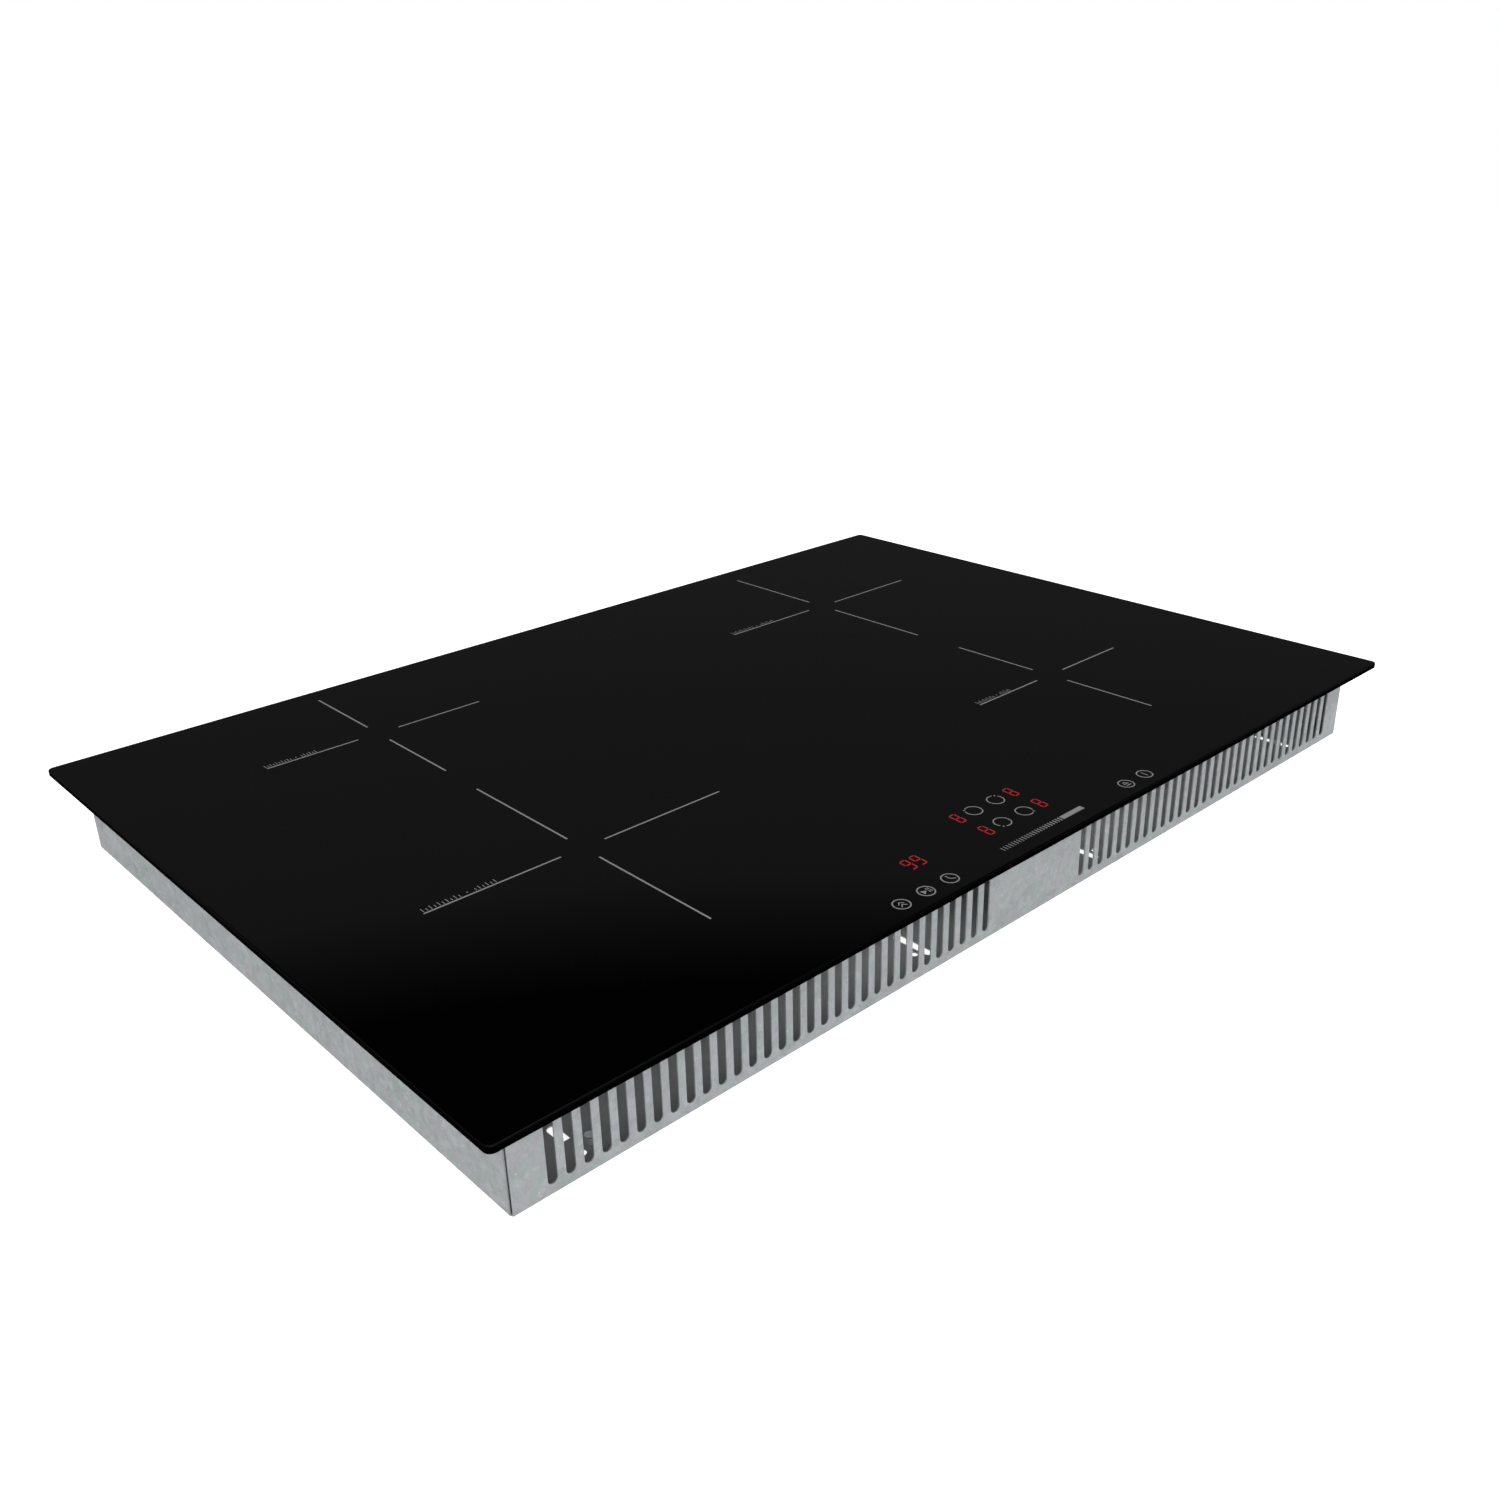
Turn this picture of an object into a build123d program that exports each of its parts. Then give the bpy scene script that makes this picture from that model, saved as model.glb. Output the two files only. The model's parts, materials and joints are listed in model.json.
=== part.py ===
"""Built-in induction cooktop with four zones, made as an assembly of separate pieces.

Units are millimetres. +X is to the user's right, +Y to the rear, +Z up.
The origin is the centre of the footprint, on the underside of the bottom tray.
"""
import os
from math import cos, radians, sin, sqrt

from build123d import *

os.makedirs("parts", exist_ok=True)

# ---------------------------------------------------------------- driving dimensions
GLASS_WIDTH = 770.0
GLASS_DEPTH = 520.0
GLASS_THICKNESS = 4.0
GLASS_CORNER_RADIUS = 4.0
GLASS_EDGE_RADIUS = 1.0
GLASS_LOWER_CHAMFER = 0.2
TOTAL_HEIGHT = 57.0

TRAY_WIDTH = 737.0
TRAY_DEPTH = 486.0
TRAY_CENTRE_Y = -0.5
SHEET = 0.8
BEND_RADIUS = 1.0
SIDE_WALL_SETBACK = 1.7
END_WALL_SETBACK = 1.0
FLANGE_WIDTH = 9.0

BEAD_HEIGHT = 1.0
BEAD_EDGE_GAP = 1.5
BEAD_WIDTH = 6.0

GASKET_HEIGHT = 1.2
GASKET_WIDTH = 5.0
GASKET_INSET = 3.0

AIR_SLOT_PITCH = 10.0
AIR_SLOT_WIDTH = 5.5
AIR_SLOTS_PER_GROUP = 31
AIR_SLOT_BOTTOM = 5.7
AIR_SLOT_TOP = 46.0
AIR_SLOT_GROUP_X = 196.0

BRACKET_SLOT_X = (80.0, 321.8)
BRACKET_SLOT_Y = 219.0
BRACKET_SLOT_LENGTH = 28.0
BRACKET_SLOT_WIDTH = 5.6
BRACKET_BRIDGE_Y = -224.0
BRACKET_BRIDGE_LENGTH = 11.0
INNER_HOLE = (87.0, 226.0)
INNER_HOLE_RADIUS = 2.3
OUTER_HOLE = (313.5, 226.0)
OUTER_HOLE_RADIUS = 2.5
COLLAR_RADIUS = 3.5
COLLAR_HEIGHT = 3.2

# Each coil site: x, y, radius of the coil former, angle of its first ear in degrees.
ZONE_X = 201.0
COIL_SITES = {
    "rear_left": (-ZONE_X, 155.5, 78.0, 30.0),
    "front_left": (-ZONE_X, -78.5, 98.0, 90.0),
    "rear_right": (ZONE_X, 129.0, 98.0, 30.0),
    "front_right": (ZONE_X, -104.5, 78.0, 90.0),
}
EARS_PER_COIL = 3
FORMER_THICKNESS = 2.2
FORMER_RIM = 6.0
GUARD_WALL = 1.5
HUB_RADIUS = 22.0
HUB_HOLE_RADIUS = 8.0
SPOKES = 8
SPOKE_WIDTH = 19.0
BAR_WIDTH = 15.0
BAR_THICKNESS = 4.0
RAIL_WIDTH = 1.2
RAIL_HEIGHT = 3.0
EAR_REACH = 7.0
EAR_RADIUS = 6.5
EAR_HOLE_RADIUS = 2.6
WINDING_HEIGHT = 3.3
WINDING_WIDTH = 3.3
WINDING_PITCH = 4.0
WINDING_INNER_RADIUS = 26.0
INSULATION_THICKNESS = 1.8
GLASS_CLEARANCE = 0.4
SENSOR_TIP_RADIUS = 6.0
SENSOR_FLANGE_RADIUS = 11.0
STUD_RADIUS = 2.0
STUD_HEAD_RADIUS = 4.0
STUD_HEAD_HEIGHT = 2.0
STUD_HEAD_GAP = 0.6
SPRING_RADIUS = 4.0
SPRING_WIRE_RADIUS = 0.45
SPRING_TURNS = 4
SPRING_END_GAP = 0.05

SIDES = {"left": -1, "right": 1}
PLATE_UNDERSIDE = 34.6
PLATE_THICKNESS = 1.0
PLATE_X = 202.5
PLATE_WIDTH = 235.0
PLATE_FRONT = -183.0
PLATE_REAR = 232.0
PLATE_LIP_LENGTH = 300.0
PLATE_LIP_DEPTH = 5.0
LEAD_HOLE_RADIUS = 10.0
STANDOFF_X = (93.0, 312.0)
STANDOFF_Y = (-176.0, 180.0)
STANDOFF_RADIUS = 3.5
SCREW_HEAD_RADIUS = 3.6
SCREW_HEAD_HEIGHT = 2.4
SCREW_SHANK_RADIUS = 1.9
SCREW_HOLE_RADIUS = 2.1
SCREW_SHANK_LENGTH = 6.0

MODULE_X = 205.0
BOARD_THICKNESS = 1.6
POWER_BOARD_WIDTH = 180.0
POWER_BOARD_DEPTH = 244.0
POWER_BOARD_Y = -40.0
POWER_BOARD_Z = 9.0
HOLDER_MARGIN = 3.0
HOLDER_FLOOR = 1.6
HOLDER_RIM_HEIGHT = 4.0
POST_RADIUS = 4.0
POST_INSET = 7.0
HEATSINK_WIDTH = 58.0
HEATSINK_LENGTH = 110.0
HEATSINK_HEIGHT = 22.0
HEATSINK_BASE = 4.0
HEATSINK_SIDE = 3.0
FIN_THICKNESS = 1.4
FINS = 7
HEATSINK_Y = 25.0
TRANSISTOR_SIZE = (5.0, 16.0, 17.5)
TRANSISTOR_LEG_HEIGHT = 4.0
TRANSISTOR_LEG_PITCH = 5.4
# Box capacitors on a power board: x and y from the board's centre, width, depth, height.
BOARD_BOXES = (
    (-34.0, -100.0, 42.0, 20.0, 21.0),
    (-34.0, -76.0, 42.0, 20.0, 21.0),
    (-34.0, -52.0, 42.0, 20.0, 21.0),
    (24.0, -92.0, 34.0, 26.0, 18.0),
    (60.0, -92.0, 18.0, 26.0, 14.0),
)
# Round capacitors on a power board: x and y from the board's centre, radius, height.
BOARD_CANS = (
    (62.0, -50.0, 9.0, 21.0),
    (62.0, -26.0, 9.0, 21.0),
    (-66.0, 20.0, 8.0, 18.0),
    (-66.0, 42.0, 8.0, 18.0),
)

FAN_Y = 138.0
FAN_SIZE = 80.0
FAN_CORNER_RADIUS = 5.0
FAN_BOTTOM = SHEET
FAN_LUG_REACH = 46.0
FAN_LUG_WIDTH = 10.0
FAN_BEARING_RADIUS = 4.5
FAN_BEARING_DROP = 8.0
FAN_HEIGHT = 20.0
FAN_BORE_RADIUS = 38.0
FAN_STRUT_HEIGHT = 3.0
BLADE_TIP_RADIUS = 36.6
FAN_HUB_RADIUS = 16.0
FAN_SHAFT_RADIUS = 1.5
FAN_SHAFT_CLEARANCE = 0.05
BLADES = 7
BLADE_ANGLE = 35.0
BLADE_THICKNESS = 1.6
GRILLE_SLOT_WIDTH = 4.0
GRILLE_SLOT_PITCH = 8.0

PANEL_WIDTH = 296.0
PANEL_FRONT = -238.0
PANEL_REAR = -194.0
PANEL_UNDERSIDE = 39.5
PANEL_FLOOR = 1.5
PANEL_FOOT_X = 112.0
PANEL_FOOT_Y = -176.0
PANEL_FOOT_WIDTH = 12.0
PANEL_FOOT_THICKNESS = 3.0
CONTROL_BOARD_Z = 42.0
DISPLAY_TOP = 52.2
DIGIT_SITES = ((-25.0, -205.0), (-25.0, -226.0), (25.0, -205.0), (25.0, -226.0))
TIMER_SITE = (-83.0, -222.5)
TIMER_DIGIT_PITCH = 8.5
DIGIT_BODY = (10.0, 17.0)
SEGMENT_WIDTH = 1.2
DIGIT_WIDTH = 6.0
DIGIT_HEIGHT = 12.0
FOIL_THICKNESS = 0.3
FOIL_HALF_WIDTH = 134.0
FOIL_FRONT = -251.5
FOIL_REAR = -192.0
FOIL_TAIL_WIDTH = 16.0
RIBBON_X = 135.0
RIBBON_WIDTH = 14.0
RIBBON_THICKNESS = 0.8
CONNECTOR_DEPTH = 5.0

FILTER_Y = 100.0
FILTER_SIZE = (120.0, 110.0)
FILTER_BOARD_Z = 6.0
# Box capacitors on the filter board: x, y, width, depth, height.
FILTER_BOXES = (
    (22.0, 76.0, 32.0, 16.0, 22.0),
    (22.0, 100.0, 32.0, 16.0, 22.0),
    (-30.0, 126.0, 28.0, 12.0, 16.0),
    (26.0, 60.0, 20.0, 8.0, 12.0),
    (22.0, 147.0, 44.0, 14.0, 14.0),
)
CHOKE_SITE = (-28.0, 92.0)
CHOKE_OUTER = 17.0
CHOKE_INNER = 9.0
CHOKE_HEIGHT = 12.0
CHOKE_WIRE = 1.6
CHOKE_TURNS = 7
CHOKE_TURN_ANGLE = 22.0
CHOKE_LACQUER = 0.2
LEAD_RADIUS = 1.6
SUPPLY_LEADS = 3
SUPPLY_LEAD_Z = 18.0

TERMINAL_LEFT = 165.0
TERMINAL_RIGHT = 295.0
TERMINAL_BOTTOM = 6.0
TERMINAL_TOP = 33.6
TERMINAL_FRONT = 190.0
TERMINAL_WALL = 2.0
BEZEL_THICKNESS = 2.0
BEZEL_MARGIN = 4.0
WINDOW_GAP = 0.5
COVER_LEFT = 170.0
COVER_RIGHT = 252.0
COVER_TOP = 34.5
COVER_THICKNESS = 2.2
COVER_GAP = 0.4
HINGE_Z = 5.0
KNUCKLE_RADIUS = 2.2
COVER_PIN_RADIUS = 1.2
COVER_PIN_CLEARANCE = 0.06
COVER_PIN_LENGTH = 4.4
LUG_GAP = 0.8
LUG_WIDTH = 4.2
LUG_RADIUS = 2.6
POLES = 5
POLE_PITCH = 13.0
GLAND_X = 276.0
GLAND_Z = 20.0
GLAND_BORE_RADIUS = 5.0
GLAND_THREAD_RADIUS = 8.0
GLAND_FLANGE_RADIUS = 11.0
GLAND_REAR = 258.0
GLAND_FRONT = 230.0

# ---------------------------------------------------------------- derived places
GLASS_UNDERSIDE = TOTAL_HEIGHT - GLASS_THICKNESS
TRAY_TOP = GLASS_UNDERSIDE - BEAD_HEIGHT
TRAY_LEFT = -TRAY_WIDTH / 2
TRAY_RIGHT = TRAY_WIDTH / 2
TRAY_FRONT = TRAY_CENTRE_Y - TRAY_DEPTH / 2
TRAY_REAR = TRAY_CENTRE_Y + TRAY_DEPTH / 2
PLATE_TOP = PLATE_UNDERSIDE + PLATE_THICKNESS
INSULATION_UNDERSIDE = GLASS_UNDERSIDE - GLASS_CLEARANCE - INSULATION_THICKNESS
WINDING_UNDERSIDE = INSULATION_UNDERSIDE - WINDING_HEIGHT
FORMER_UNDERSIDE = WINDING_UNDERSIDE - FORMER_THICKNESS
POWER_BOARD_TOP = POWER_BOARD_Z + BOARD_THICKNESS
CONTROL_BOARD_TOP = CONTROL_BOARD_Z + BOARD_THICKNESS
FILTER_BOARD_TOP = FILTER_BOARD_Z + BOARD_THICKNESS
BEZEL_REAR = TRAY_REAR + BEZEL_THICKNESS
HINGE_Y = BEZEL_REAR + COVER_GAP + KNUCKLE_RADIUS
FAN_TOP = FAN_BOTTOM + FAN_HEIGHT


def save(piece, name):
    """Labels a finished piece and writes it to its own STEP file."""
    piece.part.label = name
    export_step(piece.part, f"parts/{name}.step")


def slab(x, y, z, width, depth, height, corner=0.0, mode=Mode.ADD):
    """Adds or cuts an upright block, centred on x and y, from z upward."""
    with BuildSketch(Plane.XY.offset(z)) as outline:
        with Locations((x, y)):
            if corner > 0:
                RectangleRounded(width, depth, corner)
            else:
                Rectangle(width, depth)
    extrude(outline.sketch, amount=height, mode=mode)


def disc(x, y, z, radius, height, mode=Mode.ADD):
    """Adds or cuts an upright cylinder from z upward."""
    with BuildSketch(Plane.XY.offset(z)) as outline:
        with Locations((x, y)):
            Circle(radius)
    extrude(outline.sketch, amount=height, mode=mode)


# ---------------------------------------------------------------- glass plate
with BuildPart() as glass_top:
    with BuildSketch(Plane.XY.offset(GLASS_UNDERSIDE)):
        RectangleRounded(GLASS_WIDTH, GLASS_DEPTH, GLASS_CORNER_RADIUS)
    extrude(amount=GLASS_THICKNESS)
    fillet(glass_top.faces().sort_by(Axis.Z)[-1].edges(), GLASS_EDGE_RADIUS)
    chamfer(glass_top.faces().sort_by(Axis.Z)[0].edges(), GLASS_LOWER_CHAMFER)
save(glass_top, "glass_top")


# ---------------------------------------------------------------- foam gasket and silicone bead
def ring(z, height, centre_y, outer, width):
    """Adds a rectangular ring; outer is its (width, depth)."""
    with BuildSketch(Plane.XY.offset(z)) as outline:
        with Locations((0, centre_y)):
            Rectangle(*outer)
            Rectangle(outer[0] - 2 * width, outer[1] - 2 * width, mode=Mode.SUBTRACT)
    extrude(outline.sketch, amount=height)


with BuildPart() as sealing_gasket:
    gasket_outer = (GLASS_WIDTH - 2 * GASKET_INSET, GLASS_DEPTH - 2 * GASKET_INSET)
    ring(GLASS_UNDERSIDE - GASKET_HEIGHT, GASKET_HEIGHT, 0, gasket_outer, GASKET_WIDTH)
save(sealing_gasket, "sealing_gasket")

with BuildPart() as adhesive_bead:
    bead_outer = (TRAY_WIDTH - 2 * BEAD_EDGE_GAP, TRAY_DEPTH - 2 * BEAD_EDGE_GAP)
    ring(TRAY_TOP, BEAD_HEIGHT, TRAY_CENTRE_Y, bead_outer, BEAD_WIDTH)
    foil_pocket_z = GLASS_UNDERSIDE - FOIL_THICKNESS
    slab(0, TRAY_FRONT, foil_pocket_z, 2 * FOIL_HALF_WIDTH, 40, FOIL_THICKNESS, mode=Mode.SUBTRACT)
save(adhesive_bead, "adhesive_bead")


# ---------------------------------------------------------------- folded sheet tray
def folded_wall(origin, inward, half_span, flanged):
    """Upright sheet wall with its fold to the floor and, if flanged, its fold to an inward flange.

    The section's local x points into the tray and its local y up, from the wall's outer lower edge.
    """
    inside = BEND_RADIUS - SHEET
    wall_plane = Plane(origin=origin, x_dir=inward, z_dir=Vector(*inward).cross(Vector(0, 0, 1)))
    fold_top = TRAY_TOP - BEND_RADIUS
    with BuildSketch(wall_plane) as section:
        with BuildLine():
            CenterArc((BEND_RADIUS, BEND_RADIUS), BEND_RADIUS, 180, 90)
            CenterArc((BEND_RADIUS, BEND_RADIUS), inside, 180, 90)
            Line((BEND_RADIUS, 0), (BEND_RADIUS, SHEET))
            Line((0, BEND_RADIUS), (0, fold_top))
            Line((SHEET, BEND_RADIUS), (SHEET, fold_top))
            if flanged:
                CenterArc((BEND_RADIUS, fold_top), BEND_RADIUS, 90, 90)
                CenterArc((BEND_RADIUS, fold_top), inside, 90, 90)
                Line((BEND_RADIUS, TRAY_TOP), (FLANGE_WIDTH, TRAY_TOP))
                Line((FLANGE_WIDTH, TRAY_TOP), (FLANGE_WIDTH, TRAY_TOP - SHEET))
                Line((FLANGE_WIDTH, TRAY_TOP - SHEET), (BEND_RADIUS, TRAY_TOP - SHEET))
            else:
                Line((0, fold_top), (SHEET, fold_top))
        make_face()
    extrude(section.sketch, amount=half_span, both=True)


with BuildPart() as bottom_tray:
    half_width = TRAY_WIDTH / 2
    half_depth = TRAY_DEPTH / 2
    side_wall_half = half_depth - SIDE_WALL_SETBACK
    end_wall_half = half_width - END_WALL_SETBACK
    end_flange_half = half_width - FLANGE_WIDTH - 1
    slab(0, TRAY_CENTRE_Y, 0, TRAY_WIDTH - 2 * BEND_RADIUS, TRAY_DEPTH - 2 * BEND_RADIUS, SHEET)
    folded_wall((TRAY_LEFT, TRAY_CENTRE_Y, 0), (1, 0, 0), side_wall_half, True)
    folded_wall((TRAY_RIGHT, TRAY_CENTRE_Y, 0), (-1, 0, 0), side_wall_half, True)
    for end_y, inward in ((TRAY_FRONT, (0, 1, 0)), (TRAY_REAR, (0, -1, 0))):
        folded_wall((0, end_y, 0), inward, end_wall_half, False)
        folded_wall((0, end_y, 0), inward, end_flange_half, True)

    # Two groups of upright air slots in the front wall.
    slot_length = AIR_SLOT_TOP - AIR_SLOT_BOTTOM
    slot_middle = (AIR_SLOT_TOP + AIR_SLOT_BOTTOM) / 2
    with BuildSketch(Plane.XZ.offset(-TRAY_FRONT - SHEET - 0.5)):
        for group_x in (-AIR_SLOT_GROUP_X, AIR_SLOT_GROUP_X):
            with Locations((group_x, slot_middle)):
                with GridLocations(AIR_SLOT_PITCH, 1, AIR_SLOTS_PER_GROUP, 1):
                    SlotOverall(slot_length, AIR_SLOT_WIDTH, rotation=90)
    extrude(amount=SHEET + 1, mode=Mode.SUBTRACT)

    # Screw holes and slots for the worktop brackets, front and rear. The outer holes have collars.
    corners = [(side, end) for side in SIDES.values() for end in (-1, 1)]
    outer_holes = [(side * OUTER_HOLE[0], end * OUTER_HOLE[1]) for side, end in corners]
    inner_holes = [(side * INNER_HOLE[0], end * INNER_HOLE[1]) for side, end in corners]
    bracket_slots = [(side * x, end * BRACKET_SLOT_Y) for side, end in corners for x in BRACKET_SLOT_X]
    with BuildSketch(Plane.XY.offset(SHEET)):
        with Locations(*outer_holes):
            Circle(COLLAR_RADIUS)
    extrude(amount=COLLAR_HEIGHT)
    with BuildSketch(Plane.XY):
        with Locations(*outer_holes):
            Circle(OUTER_HOLE_RADIUS)
    extrude(amount=SHEET + COLLAR_HEIGHT, mode=Mode.SUBTRACT)
    with BuildSketch(Plane.XY):
        with Locations(*inner_holes):
            Circle(INNER_HOLE_RADIUS)
        with Locations(*bracket_slots):
            SlotOverall(BRACKET_SLOT_LENGTH, BRACKET_SLOT_WIDTH, rotation=90)
    extrude(amount=SHEET, mode=Mode.SUBTRACT)

    # A bridge of sheet stands across the outer slot at the front left.
    slab(-BRACKET_SLOT_X[1], BRACKET_BRIDGE_Y, 0, BRACKET_SLOT_WIDTH + 1, BRACKET_BRIDGE_LENGTH, SHEET)

    # Inlet grille under each fan: parallel slots cut to a circle.
    with BuildSketch(Plane.XY):
        for side in SIDES.values():
            for row in range(-4, 5):
                chord = 2 * sqrt(FAN_BORE_RADIUS**2 - (row * GRILLE_SLOT_PITCH) ** 2)
                with Locations((side * MODULE_X + row * GRILLE_SLOT_PITCH, FAN_Y)):
                    SlotOverall(chord - GRILLE_SLOT_WIDTH, GRILLE_SLOT_WIDTH, rotation=90)
    extrude(amount=SHEET, mode=Mode.SUBTRACT)

    # Window in the rear wall for the terminal box.
    window_x = (TERMINAL_LEFT + TERMINAL_RIGHT) / 2
    window_width = TERMINAL_RIGHT - TERMINAL_LEFT + 2 * WINDOW_GAP
    window_height = TERMINAL_TOP - TERMINAL_BOTTOM + 2 * WINDOW_GAP
    slab(window_x, TRAY_REAR, TERMINAL_BOTTOM - WINDOW_GAP, window_width, 4, window_height,
         mode=Mode.SUBTRACT)
save(bottom_tray, "bottom_tray")


# ---------------------------------------------------------------- coil assemblies
def ear_places(site):
    """Centres of the three ears of a coil former."""
    x, y, radius, first = site
    reach = radius + EAR_REACH
    angles = [radians(first + 360 * i / EARS_PER_COIL) for i in range(EARS_PER_COIL)]
    return [(x + reach * cos(a), y + reach * sin(a)) for a in angles]


def spiral_edges(turns, shift):
    """Half circles of a flat spiral, moved in or out by shift from its centre line."""
    for half_turn in range(2 * turns):
        upper = half_turn % 2 == 0
        radius = WINDING_INNER_RADIUS + half_turn * WINDING_PITCH / 2 + shift
        CenterArc((0 if upper else WINDING_PITCH / 2, 0), radius, 0 if upper else 180, 180)


for coil, site in COIL_SITES.items():
    coil_x, coil_y, coil_radius, first_angle = site
    bar_start = HUB_RADIUS + 4
    bar_end = coil_radius - FORMER_RIM - 2
    bar_middle = (bar_start + bar_end) / 2

    with BuildPart() as former:
        with BuildSketch(Plane.XY.offset(FORMER_UNDERSIDE)):
            with Locations((coil_x, coil_y)):
                Circle(coil_radius)
                Circle(coil_radius - FORMER_RIM, mode=Mode.SUBTRACT)
                Circle(HUB_RADIUS)
                with PolarLocations(bar_middle, SPOKES):
                    Rectangle(bar_end - bar_start + 12, SPOKE_WIDTH)
                with PolarLocations(coil_radius + EAR_REACH / 2, EARS_PER_COIL, start_angle=first_angle):
                    Rectangle(EAR_REACH + 4, 2 * EAR_RADIUS)
                with PolarLocations(coil_radius + EAR_REACH, EARS_PER_COIL, start_angle=first_angle):
                    Circle(EAR_RADIUS)
                    Circle(EAR_HOLE_RADIUS, mode=Mode.SUBTRACT)
                Circle(HUB_HOLE_RADIUS, mode=Mode.SUBTRACT)
        extrude(amount=FORMER_THICKNESS)
        with BuildSketch(Plane.XY.offset(WINDING_UNDERSIDE)):
            with Locations((coil_x, coil_y)):
                Circle(coil_radius)
                Circle(coil_radius - GUARD_WALL, mode=Mode.SUBTRACT)
                Circle(HUB_RADIUS)
                Circle(HUB_RADIUS - GUARD_WALL, mode=Mode.SUBTRACT)
        extrude(amount=WINDING_HEIGHT)
        with BuildSketch(Plane.XY.offset(FORMER_UNDERSIDE)):
            rail_offset = (BAR_WIDTH + RAIL_WIDTH) / 2 + 0.2
            with Locations((coil_x, coil_y)):
                with PolarLocations(bar_middle, SPOKES):
                    with Locations((0, rail_offset), (0, -rail_offset)):
                        Rectangle(bar_end - bar_start, RAIL_WIDTH)
        extrude(amount=-RAIL_HEIGHT)
    save(former, f"coil_former_{coil}")

    with BuildPart() as ferrites:
        with BuildSketch(Plane.XY.offset(FORMER_UNDERSIDE)):
            with Locations((coil_x, coil_y)):
                with PolarLocations(bar_middle, SPOKES):
                    Rectangle(bar_end - bar_start, BAR_WIDTH)
        extrude(amount=-BAR_THICKNESS)
    save(ferrites, f"coil_ferrites_{coil}")

    turns = int((coil_radius - GUARD_WALL - 1 - WINDING_INNER_RADIUS - WINDING_WIDTH / 2) / WINDING_PITCH)
    with BuildPart() as winding:
        half = WINDING_WIDTH / 2
        last_radius = WINDING_INNER_RADIUS + turns * WINDING_PITCH
        with BuildSketch(Plane((coil_x, coil_y, WINDING_UNDERSIDE))):
            with BuildLine():
                spiral_edges(turns, -half)
                spiral_edges(turns, half)
                Line((WINDING_INNER_RADIUS - half, 0), (WINDING_INNER_RADIUS + half, 0))
                Line((last_radius - half, 0), (last_radius + half, 0))
            make_face()
        extrude(amount=WINDING_HEIGHT)
    save(winding, f"coil_winding_{coil}")

    with BuildPart() as insulation:
        disc(coil_x, coil_y, INSULATION_UNDERSIDE, coil_radius - 0.5, INSULATION_THICKNESS)
        disc(coil_x, coil_y, INSULATION_UNDERSIDE, HUB_HOLE_RADIUS, INSULATION_THICKNESS, mode=Mode.SUBTRACT)
    save(insulation, f"coil_insulation_{coil}")

    with BuildPart() as sensor:
        flange_z = FORMER_UNDERSIDE - 1.6
        tip_top = GLASS_UNDERSIDE - GLASS_CLEARANCE
        disc(coil_x, coil_y, flange_z, SENSOR_FLANGE_RADIUS, 1.6)
        disc(coil_x, coil_y, FORMER_UNDERSIDE, HUB_HOLE_RADIUS - 0.1, FORMER_THICKNESS + 1)
        disc(coil_x, coil_y, FORMER_UNDERSIDE, SENSOR_TIP_RADIUS, tip_top - FORMER_UNDERSIDE)
        fillet(sensor.faces().sort_by(Axis.Z)[-1].edges(), 1.0)
    save(sensor, f"coil_sensor_{coil}")

    with BuildPart() as springs:
        spring_low = PLATE_TOP + SPRING_WIRE_RADIUS + SPRING_END_GAP
        spring_high = FORMER_UNDERSIDE - SPRING_WIRE_RADIUS - SPRING_END_GAP
        spring_length = spring_high - spring_low
        for ear_x, ear_y in ear_places(site):
            with BuildLine() as spring_path:
                Helix(spring_length / SPRING_TURNS, spring_length, SPRING_RADIUS,
                      center=(ear_x, ear_y, spring_low))
            with BuildSketch(Plane(spring_path.line @ 0, z_dir=spring_path.line % 0)):
                Circle(SPRING_WIRE_RADIUS)
            sweep(path=spring_path.line, is_frenet=True)
    save(springs, f"coil_springs_{coil}")

with BuildPart() as coil_studs:
    stud_places = [place for site in COIL_SITES.values() for place in ear_places(site)]
    head_z = WINDING_UNDERSIDE + STUD_HEAD_GAP
    with BuildSketch(Plane.XY.offset(PLATE_TOP)):
        with Locations(*stud_places):
            Circle(STUD_RADIUS)
    extrude(amount=head_z - PLATE_TOP)
    with BuildSketch(Plane.XY.offset(head_z)):
        with Locations(*stud_places):
            Circle(STUD_HEAD_RADIUS)
    extrude(amount=STUD_HEAD_HEIGHT)
    with BuildSketch(Plane.XY.offset(head_z + STUD_HEAD_HEIGHT)):
        with Locations(*stud_places):
            RegularPolygon(1.6, 6)
    extrude(amount=-1.2, mode=Mode.SUBTRACT)
save(coil_studs, "coil_studs")


# ---------------------------------------------------------------- aluminium shield plates on standoffs
def standoff_places(side):
    """Four standoff centres under one shield plate."""
    return [(side * x, y) for x in STANDOFF_X for y in STANDOFF_Y]


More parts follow.
